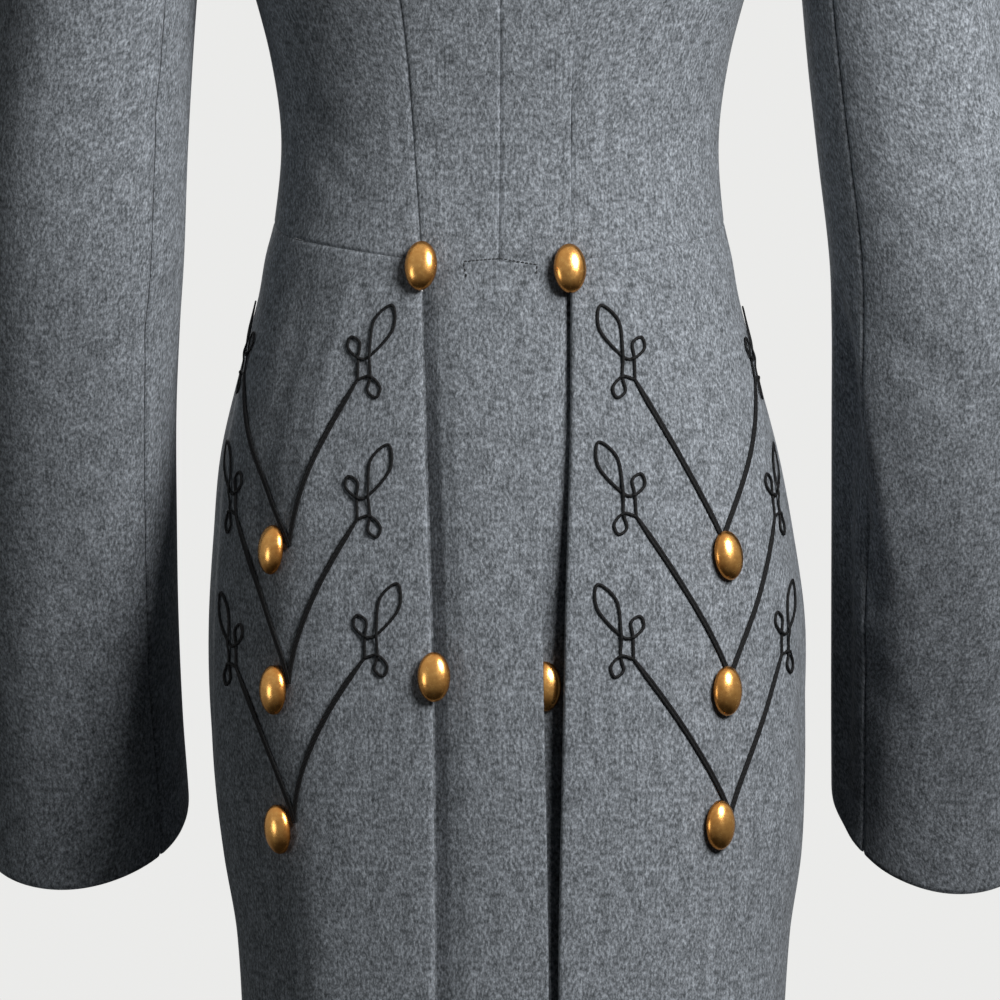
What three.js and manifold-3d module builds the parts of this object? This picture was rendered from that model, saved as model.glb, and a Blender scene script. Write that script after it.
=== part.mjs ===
// Grey full-dress tailcoat in its worn form, hollow, with open neck, cuffs and hem.
// Millimetres, +Z up. The back faces +Y and the wearer's left is +X. The origin is the middle of the
// neck at the height of the nape, where the wearer's shoulders carry the coat.
import * as THREE from "three";
import { mergeVertices } from "three/addons/utils/BufferGeometryUtils.js";
import Module from "manifold-3d";

const wasm = await Module();
wasm.setup();

// Cloth and sewing
const WALL = 1.6;            // thickness of the wool cloth
const SEAM = 0.3;            // space between two pieces at a seam
const LAYER = WALL + 0.4;    // how far down the next layer of cloth lies
const SQUARE = 2.25;         // 2 is an ellipse, more is squarer

// Heights
const WAIST = -396;          // waist seam at the hip buttons
const PLEAT_TOP = -412;      // where the side pleats open
const HEM = -858;            // hem of the tails
const SIDE_NECK = -12;       // neck seam at the shoulder seam
const FRONT_NECK = -56;      // neck seam at the centre front

// The worn form: one row for each level section
const BODY = {
  columns: ["z", "halfWidth", "back", "front", "shift"],
  rows: [
    [HEM, 150, 112, 112, -7.5],
    [-773, 155, 115, 112, -7.8],
    [-728, 162, 117, 112, -7.3],
    [-683, 165.8, 119, 112, -5.6],
    [-639, 167, 120, 112, -4.5],
    [-594, 166.6, 118, 111, -4],
    [-549, 162.4, 114, 109, -2.2],
    [-504, 156.5, 109, 107, 0],
    [-459, 146, 103, 104, 0.8],
    [-415, 135, 96, 102, 0.8],
    [-392, 131, 93, 101, 0.8],
    [-370, 126, 90, 100, 0.5],
    [-325, 123, 88, 98, 0],
    [-280, 129, 95, 103, 0],
    [-230, 142, 106, 111, 0],
    [-190, 151, 111, 114, 0],
    [-150, 163, 110, 110, 0],
    [-105, 184, 102, 97, 0],
    [-75, 200, 92, 85, 0],
    [-60, 203, 86, 78, 0],
    [-48, 176, 80, 71, 0],
    [-36, 140, 75, 65, 0],
    [-24, 104, 69, 59, 0],
    [SIDE_NECK, 68, 63, 53, 0],
    [4, 50, 57, 44, 0],
  ],
};

// Where the seams and the pleat folds run: distance from the centre back on each side
const SEAMS = {
  columns: ["z", "left", "right"],
  rows: [
    [HEM, 36.5, 32.5],
    [-780, 36.5, 32.5],
    [-642, 37.5, 35.3],
    [-586, 39, 36.4],
    [-495, 42, 39],
    [PLEAT_TOP, 44, 39.6],
    [WAIST, 44, 39.4],
    [-330, 48.5, 40.2],
    [-278, 52.6, 41.5],
    [-240, 59, 50],
    [-200, 77, 71],
    [-170, 104, 101],
    [-148, 136, 136],
  ],
};

// How far the back skirts lie below the tails, where the lap of the vent ends, and between which
// distances from the centre the right skirt goes down into its pleat
const VENT = {
  columns: ["z", "middle", "leftPleat", "rightPleat", "lapEdge", "hollowFrom", "hollowTo"],
  rows: [
    [HEM, 3, 6.6, 7.5, 27, 8, 17],
    [-780, 3, 6.8, 10.5, 27, 8, 15],
    [-632, 2.2, 7.8, 14.8, 24.2, 7, 15],
    [-560, 2.4, 9, 11.5, 23, 12, 22],
    [-520, 2.4, 9.2, 8.6, 23, 20, 31],
    [-490, 2.4, 8.8, 7, 23, 27, 35.5],
    [-440, 1.8, 7, 6.2, 22.6, 32, 37.2],
    [PLEAT_TOP, 0.8, 5.9, 5.9, 22, 33, 37.6],
    [WAIST, 0, 0, 0, 21, 33, 37.6],
  ],
};
const UNDERLAP = 21;         // how far the right back skirt reaches past the centre, under the lap
const PLEAT_DEPTH = 28;      // width of the cloth that is folded under at each side pleat
const BEND = 0.9;            // inside radius of the folded edge

// Front edge of each tail: degrees round the form from the centre back
const HIP_TURN = 18;         // where the waist seam begins at the hip button
const TAIL_END = 118;        // where it meets the front edge of the tail
const TAIL_FRONT = {
  columns: ["z", "angle"],
  rows: [[HEM, 84], [-773, 93], [-683, 102], [-560, 110], [WAIST, TAIL_END]],
};
const TAIL_CORNER = 16;      // how far the hem rises at the front corner of a tail

// Soft folds down the tails: side 1 is left, -1 is right
const FOLDS = {
  columns: ["side", "angle", "width", "depth", "top"],
  rows: [
    [1, 43, 9, 3.4, -420],
    [1, 72, 12, 1.8, -520],
    [-1, 47, 9, -2, -540],
  ],
};

// Armholes: an oval round the side of the form, with the places on it that its pieces share, as degrees
// round the oval from its back
const ARMHOLE = { middle: -126, halfHeight: 66, halfAngle: 36 };
const ARMHOLE_TURNS = [-90, -68, -45, -20, 0, 20, 40, 60, 75, 90];
const SEAM_TURN = -20;       // where the side-back seam runs into the armhole
const ARMHOLE_GAP = 0.5;     // space round the sleeve, about 2.7 mm of the form to a degree

// Fronts
const FRONT_LAP = 7;         // degrees that each front reaches past the centre front
const LAP_SLOPE = 6;         // degrees over which the lower front goes down under the upper one
const WAIST_RISE = 33;       // how much higher the waist seam is where the tails end in front
const FRONT_DIP = 4;         // what is left of that rise at the centre front

// Sleeves: one row for each level section; inner is the distance of the edge next to the body, and
// middle says how far back the section's middle lies, the right arm being bent more
const SLEEVE = {
  columns: ["z", "innerLeft", "innerRight", "halfWidth", "halfDepth", "middleLeft", "middleRight"],
  rows: [
    [-760, 176, 190, 59, 51, -114, -168],
    [-706, 176.5, 189.5, 59.5, 53, -98, -140],
    [-650, 180, 188.5, 60.5, 55, -79, -107],
    [-594, 182, 187.8, 61, 58, -60, -74],
    [-540, 182.5, 187.3, 61.5, 61, -41, -46],
    [-480, 182.3, 186.8, 62, 64, -20, -21],
    [-430, 180, 186.5, 62.5, 67, -6, -6],
    [-392, 177.5, 185, 62.5, 69, 1, 1],
    [-336, 175.5, 178.5, 62, 71, 3, 3],
    [-280, 172.5, 172.5, 60, 72, 2, 2],
    [-215, 168, 167, 57, 72, 0, 0],
  ],
};
const CAP_START = -215;      // where the sleeve head begins
const CUFF = {
  columns: ["side", "middle", "dip", "turn"],
  rows: [[1, -708, 42, 13], [-1, -705, 49, 13]],
};
const CUFF_START = -620;     // where the rows begin to follow the slant of the cuff
const CAP_SPAN = 160;        // rows of the sleeve head run from CAP_START to CAP_START + CAP_SPAN
const ARM_SEAM = -45;        // back seam of the sleeve, as degrees round it from its back
const ARM_SEAM_GAP = 0.25;   // degrees, half of a seam's space

// Collar
const COLLAR_HEIGHT = 44;
const COLLAR_LEAN = 4;       // how far the top edge leans in
const COLLAR_GAP = 1.6;      // degrees between an end and the centre front

// Buttons: upright oval domes
const BUTTON = { halfWidth: 9.2, halfHeight: 13.9, around: 10, clear: 0.7 };
const BUTTON_PROFILE = {
  columns: ["radius", "height"],
  rows: [[0, 0], [0.28, 0], [0.28, 1.2], [0.93, 1.2], [1, 2.1], [0.9, 5.1], [0.55, 7.7], [0, 8.8]],
};
const BACK_BUTTONS = {
  columns: ["name", "side", "x", "z", "lift"],
  rows: [
    ["hip_button_left", 1, 43.5, -399, 0],
    ["hip_button_right", -1, 38.4, -400.5, 0],
    ["pleat_button_left", 1, 36.4, -627, -0.8],
    ["pleat_button_right", -1, 25.6, -632, -14.8],
    ["skirt_button_left_1", 1, 123.6, -557, 0],
    ["skirt_button_left_2", 1, 122.2, -634.5, 0],
    ["skirt_button_left_3", 1, 119.7, -711.5, 0],
    ["skirt_button_right_1", -1, 125.3, -560, 0],
    ["skirt_button_right_2", -1, 125.3, -635, 0],
    ["skirt_button_right_3", -1, 121.6, -709.5, 0],
  ],
};
const FRONT_BUTTONS = { count: 8, top: -96, bottom: -372 };

// Braid: narrow black cord, doubled in the arms of each chevron
const BRAID = { width: 1.8, doubled: 3.4, low: 0.6, high: 1.6, over: 1.15 };
// One row for each chevron: its foot and the foot of each knot, as degrees from the centre back and
// height. A curve of 1 is a straight arm, and more starts it steeper.
const CHEVRONS = {
  columns: ["side", "row", "angle", "foot", "innerAngle", "innerZ", "innerCurve", "outerAngle", "outerZ",
    "outerCurve"],
  rows: [
    [1, 1, 43.8, -555, 31, -462, 1.5, 73, -459, 1.15],
    [1, 2, 43.4, -631, 29, -539.5, 1.5, 64, -537, 1.3],
    [1, 3, 44, -708, 27.4, -616.5, 1.5, 61, -622, 1.35],
    [-1, 1, 46, -551, 30, -462, 1.05, 74, -462, 1.15],
    [-1, 2, 45.6, -628, 26.5, -538, 1.05, 66.5, -538, 1.2],
    [-1, 3, 45.8, -704, 24, -617, 1.1, 63, -615, 1.15],
  ],
};
// The knot, from the top of the arm: one row for each loop, with its crossing, tip and half width
const KNOT = {
  columns: ["crossX", "crossZ", "tipX", "tipZ", "halfWidth"],
  rows: [
    [0.2, 12, -4.2, 23.6, 3.8],
    [7, 13, 19.4, 41.2, 5.9],
    [7.3, 1.6, 10.6, -10, 3.7],
  ],
};
const ARM_STEPS = 6;         // steps of cord in an arm

const WOOL = new THREE.MeshStandardMaterial({ color: 0x70777b, roughness: 0.95, metalness: 0 });
const BRAID_BLACK = new THREE.MeshStandardMaterial({ color: 0x141618, roughness: 0.8, metalness: 0 });
const GILT = new THREE.MeshStandardMaterial({ color: 0xc48a3c, roughness: 0.28, metalness: 1 });

const coat = new THREE.Group();
const { degToRad, radToDeg, lerp, smoothstep, clamp } = THREE.MathUtils;

// Value of a named column at a height, on a smooth curve through the table's rows.
function reading(table, name, z) {
  const c = table.columns.indexOf(name);
  const rows = table.rows;
  const last = rows.length - 1;
  const height = clamp(z, rows[0][0], rows[last][0]);
  let i = 0;
  while (i < last - 1 && rows[i + 1][0] < height) i++;
  const slope = (k) => {
    const before = rows[Math.max(k - 1, 0)];
    const after = rows[Math.min(k + 1, last)];
    return (after[c] - before[c]) / (after[0] - before[0]);
  };
  const span = rows[i + 1][0] - rows[i][0];
  const t = (height - rows[i][0]) / span;
  const rise = rows[i + 1][c] - rows[i][c];
  const bend = (slope(i) * span - rise) * (1 - t) - (slope(i + 1) * span - rise) * t;
  return rows[i][c] + rise * t + t * (1 - t) * bend;
}

// Rows of a table as objects with named fields.
function records(table) {
  return table.rows.map((row) => Object.fromEntries(table.columns.map((name, i) => [name, row[i]])));
}

// The point at an angle on a level oval that is a little squarer than an ellipse.
function oval(angle, halfWidth, halfDepth) {
  const s = Math.sin(degToRad(angle));
  const c = Math.cos(degToRad(angle));
  const reach = (Math.abs(s) ** SQUARE + Math.abs(c) ** SQUARE) ** (-1 / SQUARE);
  return [halfWidth * reach * s, halfDepth * reach * c];
}

// A point of the worn form at an angle from the centre back, positive to the wearer's left.
function form(angle, z) {
  const depth = reading(BODY, Math.cos(degToRad(angle)) > 0 ? "back" : "front", z);
  const [x, y] = oval(angle, reading(BODY, "halfWidth", z), depth);
  return new THREE.Vector3(x + reading(BODY, "shift", z), y, z);
}

// The direction square to a surface(across, up), outwards where across runs to the wearer's left at the
// back.
function facing(surface, across, up) {
  const step = 0.5;
  const side = surface(across + step, up).sub(surface(across - step, up));
  const rise = surface(across, up + step).sub(surface(across, up - step));
  return rise.cross(side).normalize();
}

// A point of a surface moved out by a distance.
function off(surface, across, up, out) {
  return surface(across, up).addScaledVector(facing(surface, across, up), out);
}

// Angle of the point of the worn form that lies at x.
function angleAt(x, z) {
  const away = x - reading(BODY, "shift", z);
  const share = Math.min(Math.abs(away) / reading(BODY, "halfWidth", z), 0.999) ** SQUARE;
  return Math.sign(away) * radToDeg(Math.atan((share / (1 - share)) ** (1 / SQUARE)));
}

// Moves an angle by millimetres along the form.
function shiftAngle(angle, z, distance) {
  return angle + distance / form(angle + 0.5, z).distanceTo(form(angle - 0.5, z));
}

// The angle at height z of a place as far round from the centre back as this one at height from.
function above(angle, from, z) {
  const perDegree = (height) => form(angle / 2 + 0.5, height).distanceTo(form(angle / 2 - 0.5, height));
  return angle * perDegree(from) / perDegree(z);
}

// Value at place u in a list of stops: 1.4 is 40% of the way from stop 1 to stop 2.
function between(stops, u) {
  const i = Math.min(Math.floor(u), stops.length - 2);
  return lerp(stops[i], stops[i + 1], u - i);
}

// Grid lines between stops: counts[i] steps from stop i to stop i + 1.
function gridLines(counts) {
  return [0, ...counts.flatMap((count, i) => Array.from({ length: count }, (_, k) => i + (k + 1) / count))];
}

// A closed mesh from points and triangles, turned so that its faces point outwards.
function solidGeometry(points, triangles) {
  let volume = 0;
  for (const [a, b, c] of triangles) volume += points[a].dot(points[b].clone().cross(points[c]));
  const faces = volume < 0 ? triangles.map(([a, b, c]) => [a, c, b]) : triangles;
  const geometry = new THREE.BufferGeometry();
  const places = points.flatMap((point) => point.toArray());
  geometry.setAttribute("position", new THREE.Float32BufferAttribute(places, 3));
  geometry.setIndex(faces.flat());
  return geometry;
}

// A wall of cloth over the cells of a grid. place(u, row, under) gives its outer and its under side, and
// keep(u, row), asked at the middle of a cell, says whether the piece has cloth there.
function cloth(columns, rows, place, keep = () => true) {
  const points = [];
  const known = new Map();
  const vertex = (i, j, under) => {
    const key = `${i},${j},${under}`;
    if (!known.has(key)) {
      known.set(key, points.length);
      points.push(place(columns[i], rows[j], under));
    }
    return known.get(key);
  };
  const has = (i, j) => i >= 0 && j >= 0 && i < columns.length - 1 && j < rows.length - 1
    && keep((columns[i] + columns[i + 1]) / 2, (rows[j] + rows[j + 1]) / 2);
  const triangles = [];
  const quad = (a, b, c, d) => triangles.push([a, b, c], [a, c, d]);
  for (let i = 0; i < columns.length - 1; i++) {
    for (let j = 0; j < rows.length - 1; j++) {
      if (!has(i, j)) continue;
      const corners = [[i, j], [i, j + 1], [i + 1, j + 1], [i + 1, j]];
      const top = corners.map(([p, q]) => vertex(p, q, false));
      const low = corners.map(([p, q]) => vertex(p, q, true));
      quad(...top);
      triangles.push([low[0], low[2], low[1]], [low[0], low[3], low[2]]);
      const beside = [[i - 1, j], [i, j + 1], [i + 1, j], [i, j - 1]];
      beside.forEach(([p, q], k) => {
        const n = (k + 1) % 4;
        if (!has(p, q)) quad(top[n], top[k], low[k], low[n]);
      });
    }
  }
  return solidGeometry(points, triangles);
}

function add(name, geometry, material) {
  const mesh = new THREE.Mesh(geometry, material);
  mesh.name = name;
  coat.add(mesh);
  return mesh;
}

const sideName = (side) => (side > 0 ? "left" : "right");
const armholeRow = (turn) => ARMHOLE.middle + ARMHOLE.halfHeight * Math.sin(degToRad(turn));
const JUNCTION = armholeRow(SEAM_TURN);

// Half the armhole's angle at a height, nothing above the shoulder and below the armpit.
function armholeAngle(z) {
  const up = (z - ARMHOLE.middle) / ARMHOLE.halfHeight;
  return ARMHOLE.halfAngle * Math.sqrt(Math.max(0, 1 - up * up));
}

// Height of the neck seam at an angle.
function neckline(angle) {
  const c = Math.cos(degToRad(angle));
  return c > 0 ? SIDE_NECK * (1 - c * c) : SIDE_NECK + (FRONT_NECK - SIDE_NECK) * (-c) ** 9;
}

// How much higher the waist seam is than at the hip buttons: straight up to the tails' front edge, then
// down.
function waistRise(angle) {
  const turn = Math.abs(angle);
  if (turn <= TAIL_END) return WAIST_RISE * (turn - HIP_TURN) / (TAIL_END - HIP_TURN);
  return lerp(WAIST_RISE, FRONT_DIP, (turn - TAIL_END) / (180 - TAIL_END));
}

// How far the level rows of a panel bend to the neck seam. spread is the angle that a point would have
// if its panel went all the way to the shoulder seam.
function neckBend(spread, row) {
  return (neckline(spread) - SIDE_NECK) * clamp((row + 150) / (SIDE_NECK + 150), 0, 1);
}

// How far the level rows of a panel bend to the waist seam.
function waistBend(angle, row) {
  return waistRise(angle) * (1 - smoothstep(row, WAIST, -325));
}

// Seam of the back and the side body, and below the waist the fold of the side pleat.
function seamAngle(side, z) {
  return angleAt(side * reading(SEAMS, sideName(side), z), z);
}

const waistRows = [WAIST, -375, -350, -320, -290, -260, -235, -212];
const shoulderRows = [-51, -41, -31, -21, SIDE_NECK];
const skirtRows = [
  HEM, -820, -780, -740, -705, -670, -635, -600, -565, -530, -500, -470, -445, -428, PLEAT_TOP,
];
const armpitRows = ARMHOLE_TURNS.filter((turn) => turn < SEAM_TURN).map(armholeRow);
const bladeRows = ARMHOLE_TURNS.filter((turn) => turn > SEAM_TURN).map(armholeRow);

// The backs: each is cut in one with its skirt. Below the waist the left skirt laps over the right one,
// and both go on under the tails beside them, inside the side pleats.
function addBack(side) {
  const laps = side > 0;
  const place = (u, row, under) => {
    const edge = row < JUNCTION ? seamAngle(side, row) : side * (90 - armholeAngle(row));
    const fold = shiftAngle(edge, row, -side * SEAM / 2);
    const centre = shiftAngle(0, row, side * SEAM / 2);
    const lapEdge = reading(VENT, "lapEdge", row);
    const spread = smoothstep(row, WAIST, -240);
    const free = laps ? lerp(centre, fold, 0.6) : angleAt(-reading(VENT, "hollowFrom", row), row);
    const clear = laps ? lerp(centre, fold, 0.8) : angleAt(-reading(VENT, "hollowTo", row), row);
    const angle = between([
      angleAt(laps ? -lapEdge : UNDERLAP, row),
      centre,
      lerp(free, lerp(centre, fold, 0.6), spread),
      lerp(clear, lerp(centre, fold, 0.8), spread),
      fold,
      shiftAngle(fold, row, side * (PLEAT_DEPTH + 3)),
    ], u);
    const middle = reading(VENT, "middle", row);
    const pleat = reading(VENT, laps ? "leftPleat" : "rightPleat", row);
    const lapped = middle + LAYER * (1 - smoothstep(row, WAIST, WAIST + 8));
    const sunk = between(laps
      ? [middle, middle, middle, lerp(middle, pleat, 0.3), pleat, pleat]
      : [lapped, lapped, lapped, pleat, pleat, pleat], u);
    return off(form, angle, row + neckBend(90 * angle / edge, row), -sunk - (under ? WALL : 0));
  };
  const keep = (u, row) => (u > 1 || row < WAIST - SEAM / 2) && (u < 4 || row < PLEAT_TOP);
  const rows = [...skirtRows, WAIST - SEAM, WAIST + 8, ...waistRows.slice(1), ...armpitRows,
    JUNCTION - SEAM / 2, JUNCTION + SEAM / 2, ...bladeRows, ...shoulderRows];
  add(`back_${sideName(side)}`, cloth(gridLines([2, 2, 1, 1, 2]), rows, place, keep), WOOL);
}

// The side bodies, from the side-back seam to the side seam under the arm.
function addSideBody(side) {
  const place = (u, row, under) => {
    const from = shiftAngle(seamAngle(side, row), row, side * SEAM / 2);
    const to = shiftAngle(side * (90 - armholeAngle(row)), row, -side * SEAM / 2);
    const angle = lerp(from, to, u);
    return off(form, angle, row + waistBend(angle, row), under ? -WALL : 0);
  };
  const rows = [...waistRows, ...armpitRows, JUNCTION - 2 * SEAM];
  add(`side_back_${sideName(side)}`, cloth(gridLines([5]), rows, place), WOOL);
}

// The fronts, cut off at the waist. The left one laps over the right one and carries the front buttons.
function addFront(side) {
  const laps = side > 0;
  const place = (u, row, under) => {
    const edge = side * (90 + armholeAngle(row));
    const from = shiftAngle(edge, row, side * SEAM / 2);
    const flat = side * (180 - FRONT_LAP - LAP_SLOPE);
    const angle = between([
      from,
      lerp(edge, flat, (TAIL_END - 90) / (Math.abs(flat) - 90)),
      flat,
      side * (180 - FRONT_LAP - 0.3),
      side * (180 + FRONT_LAP),
    ], u);
    const sunk = laps ? 0 : between([0, 0, 0, LAYER, LAYER], u);
    const spread = 180 - 90 * (180 - Math.min(Math.abs(angle), 180)) / (180 - Math.abs(edge));
    const z = row + waistBend(angle, row) + neckBend(spread, row);
    return off(form, angle, z, -sunk - (under ? WALL : 0));
  };
  const rows = [...waistRows, ...ARMHOLE_TURNS.map(armholeRow), ...shoulderRows];
  add(`front_${sideName(side)}`, cloth(gridLines([2, 4, 1, 2]), rows, place), WOOL);
}

// The stand collar, inside the neck seam and open at the centre front.
function addCollar() {
  const heights = [2 * SEAM, 15, 30, COLLAR_HEIGHT];
  const place = (u, height, under) => {
    const point = form(u, neckline(u));
    const level = facing(form, u, neckline(u)).setZ(0).normalize();
    const inset = SEAM + COLLAR_LEAN * height / COLLAR_HEIGHT;
    point.addScaledVector(level, -inset - (under ? WALL : 0));
    return point.setZ(point.z + height);
  };
  const lapStart = 180 - FRONT_LAP - LAP_SLOPE;
  const turns = [
    ...gridLines([2, 1, 1]).map((u) => between([0, 54, 72, 90], u)),
    ...gridLines([2, 4, 1]).slice(1).map((u) => between([90, TAIL_END, lapStart, lapStart + LAP_SLOPE], u)),
    180 - COLLAR_GAP,
  ];
  const around = [...turns.slice(1).map((turn) => -turn).reverse(), ...turns];
  add("collar", cloth(around, heights, place), WOOL);
}

// A point of a tail's outer side: the worn form with the soft folds of the skirt.
function tailSurface(side) {
  return (angle, z) => {
    let out = 0;
    for (const fold of records(FOLDS)) {
      if (fold.side !== side) continue;
      const near = Math.exp(-(((side * angle - fold.angle) / fold.width) ** 2));
      out += fold.depth * near * (1 - smoothstep(z, fold.top - 160, fold.top));
    }
    return off(form, angle, z, out);
  };
}

// The tails: side skirts sewn to the waist seam, each folded under along its back edge in the side pleat.
function addTail(side) {
  const surface = tailSurface(side);
  const turnUnder = WALL + BEND;
  const place = (u, row, under) => {
    const seam = seamAngle(side, row);
    const start = shiftAngle(seam, row, side * (row > PLEAT_TOP ? SEAM / 2 : turnUnder));
    const front = side * reading(TAIL_FRONT, "angle", row);
    const angle = u <= 3
      ? between([front, side * 62, side * 34, start], u)
      : shiftAngle(start, row, side * PLEAT_DEPTH * Math.max(0, u - 4));
    const nearWaist = smoothstep(row, -470, WAIST - 2 * SEAM);
    const corner = TAIL_CORNER * smoothstep(side * angle, 50, 90) * (1 - smoothstep(row, HEM, HEM + 80));
    const z = row + waistRise(angle) * nearWaist + corner;
    if (u <= 3) return off(surface, angle, z, under ? -WALL : 0);
    const out = facing(surface, angle, z);
    const centre = surface(angle, z).addScaledVector(out, -turnUnder);
    const radius = under ? BEND : turnUnder;
    if (u > 4) return centre.addScaledVector(out, -radius);
    const back = new THREE.Vector3(-side * out.y, side * out.x, 0).normalize();
    const bend = Math.PI * (u - 3);
    centre.addScaledVector(out, radius * Math.cos(bend));
    return centre.addScaledVector(back, radius * Math.sin(bend));
  };
  const keep = (u, row) => u < 3 || row < PLEAT_TOP;
  const columns = gridLines([3, 7, 1, 3, 2]);
  add(`tail_${sideName(side)}`, cloth(columns, [...skirtRows, WAIST - 2 * SEAM], place, keep), WOOL);
}

// A point of a sleeve: turn is measured round it from its back, positive outwards. Rows above CAP_START
// belong to the sleeve head, which bends over on a smooth curve to the armhole.
function sleeveSurface(side) {
  const cuff = records(CUFF).find((row) => row.side === side);
  const innerEdge = side > 0 ? "innerLeft" : "innerRight";
  const middle = side > 0 ? "middleLeft" : "middleRight";
  const tube = (turn, z) => {
    const [x, y] = oval(turn, reading(SLEEVE, "halfWidth", z), reading(SLEEVE, "halfDepth", z));
    const middleX = reading(SLEEVE, innerEdge, z) + reading(SLEEVE, "halfWidth", z);
    return new THREE.Vector3(side * (middleX + x), y + reading(SLEEVE, middle, z), z);
  };
  return (turn, row) => {
    if (row <= CAP_START) {
      const hem = cuff.middle - cuff.dip * Math.cos(degToRad(turn - cuff.turn));
      const down = Math.max(0, (CUFF_START - row) / (CUFF_START - cuff.middle));
      return tube(turn, row > CUFF_START ? row : lerp(CUFF_START, hem, down));
    }
    const s = (row - CAP_START) / CAP_SPAN;
    const from = tube(turn, CAP_START);
    const to = form(...armholePlace(side, turn));
    const length = from.distanceTo(to);
    const rise = tube(turn, CAP_START).sub(tube(turn, CAP_START - 10)).normalize().multiplyScalar(length);
    const leave = new THREE.Vector3(-0.98 * side, 0, -0.12).multiplyScalar(length);
    const chord = to.clone().sub(from);
    return from.addScaledVector(chord, s * s * (3 - 2 * s))
      .addScaledVector(rise, s * (1 - s) * (1 - s))
      .addScaledVector(leave, s * s * (s - 1));
  };
}

// Angle and height of a point just inside the armhole's edge.
function armholePlace(side, turn) {
  const angle = (ARMHOLE.halfAngle - ARMHOLE_GAP / 2.7) * Math.cos(degToRad(turn));
  const rise = (ARMHOLE.halfHeight - ARMHOLE_GAP) * Math.sin(degToRad(turn));
  return [side * (90 - angle), ARMHOLE.middle + rise];
}

// The sleeves: an upper and an under piece each, sewn along the back and the front of the arm.
function addSleeve(side) {
  const surface = sleeveSurface(side);
  const cuff = records(CUFF).find((row) => row.side === side);
  const cuffRows = gridLines([4]).map((share) => lerp(cuff.middle, CUFF_START, share));
  const capRows = gridLines([6]).map((share) => CAP_START + CAP_SPAN * share);
  const rows = [...cuffRows, -565, -510, -460, -415, -370, -320, -270, ...capRows];
  const place = (turn, row, under) => {
    if (row === CAP_START + CAP_SPAN) return off(form, ...armholePlace(side, turn), under ? -WALL : 0);
    return off(surface, turn, row, under ? -WALL * side : 0);
  };
  const front = ARMHOLE_TURNS.map((turn) => 180 - turn).reverse().slice(1);
  const around = [...ARMHOLE_TURNS, ...front];
  const frontSeam = 180 - ARM_SEAM;
  const inside = (turn, from, to) => turn > from + ARM_SEAM_GAP && turn < to - ARM_SEAM_GAP;
  const piece = (from, to) => {
    const turns = [...around, ...around.map((turn) => turn + 360)].filter((turn) => inside(turn, from, to));
    return [from + ARM_SEAM_GAP, ...new Set(turns), to - ARM_SEAM_GAP];
  };
  add(`sleeve_upper_${sideName(side)}`, cloth(piece(ARM_SEAM, frontSeam), rows, place), WOOL);
  add(`sleeve_under_${sideName(side)}`, cloth(piece(frontSeam, 360 + ARM_SEAM), rows, place), WOOL);
}

// A domed button on its shank, standing on a surface.
function addButton(name, surface, across, up, lift) {
  const profile = records(BUTTON_PROFILE).map(({ radius, height }) => new THREE.Vector2(radius, height));
  const geometry = new THREE.LatheGeometry(profile, BUTTON.around);
  geometry.rotateX(Math.PI / 2);
  geometry.scale(BUTTON.halfWidth, BUTTON.halfHeight, 1);
  const out = facing(surface, across, up);
  const rise = surface(across, up + 1).sub(surface(across, up - 1)).normalize();
  const level = rise.clone().cross(out).normalize();
  const mesh = add(name, geometry, GILT);
  const turned = new THREE.Matrix4().makeBasis(level, out.clone().cross(level), out);
  mesh.quaternion.setFromRotationMatrix(turned);
  mesh.position.copy(surface(across, up)).addScaledVector(out, BUTTON.clear + lift);
}

// A strip of braid along points (angle, z, rise above the cloth) of a surface.
function braidStrip(surface, path, width, trim) {
  const feet = path.map(([angle, z]) => surface(angle, z));
  const points = [];
  const triangles = [];
  path.forEach(([angle, z, rise], i) => {
    const out = facing(surface, angle, z);
    const along = feet[Math.min(i + 1, path.length - 1)].clone().sub(feet[Math.max(i - 1, 0)]);
    const across = along.cross(out).normalize().multiplyScalar(width / 2);
    const [low, high] = [BRAID.low + rise + trim, BRAID.high + rise - trim];
    for (const [share, height] of [[-1, low], [1, low], [1, high], [-1, high]]) {
      points.push(feet[i].clone().addScaledVector(across, share).addScaledVector(out, height));
    }
    if (i === 0) return;
    for (let k = 0; k < 4; k++) {
      const [a, b] = [4 * i + k, 4 * i + (k + 1) % 4];
      triangles.push([a - 4, b - 4, b], [a - 4, b, a]);
    }
  });
  const end = points.length - 4;
  triangles.push([0, 2, 1], [0, 3, 2], [end, end + 1, end + 2], [end, end + 2, end + 3]);
  return solidGeometry(points, triangles);
}

// The cord of one knot as a smooth curve: through each loop's crossing, round its tip and back. Where it
// comes back to a crossing it goes over itself. Gives points (away from the chevron, up, rise).
function knotPath() {
  const points = [new THREE.Vector3(0, 0, 0)];
  for (const loop of records(KNOT)) {
    const cross = new THREE.Vector3(loop.crossX, loop.crossZ, 0);
    const tip = new THREE.Vector3(loop.tipX, loop.tipZ, 0);
    const axis = tip.clone().sub(cross).normalize();
    const aside = new THREE.Vector3(axis.y, -axis.x, 0).multiplyScalar(loop.halfWidth);
    const middle = cross.clone().lerp(tip, 0.6);
    points.push(cross, middle.clone().add(aside), tip, middle.clone().sub(aside), cross.clone());
  }
  points.push(new THREE.Vector3(0, 0, 0));
  const curve = new THREE.CatmullRomCurve3(points);
  const loopPlaces = [0, 0.5, 1, 1.5, 2, 2.5, 3, 3.5, 3.78, 4.22];
  const places = [0, ...[1, 6, 11].flatMap((start) => loopPlaces.map((place) => start + place)), 15.6, 16];
  return places.map((place) => {
    const over = Math.abs(((place - 5 + 2.5) % 5) - 2.5) < 0.3 && place > 4;
    const point = curve.getPoint(place / (points.length - 1));
    return [point.x, point.y, over ? BRAID.over : 0];
  });
}

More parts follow.
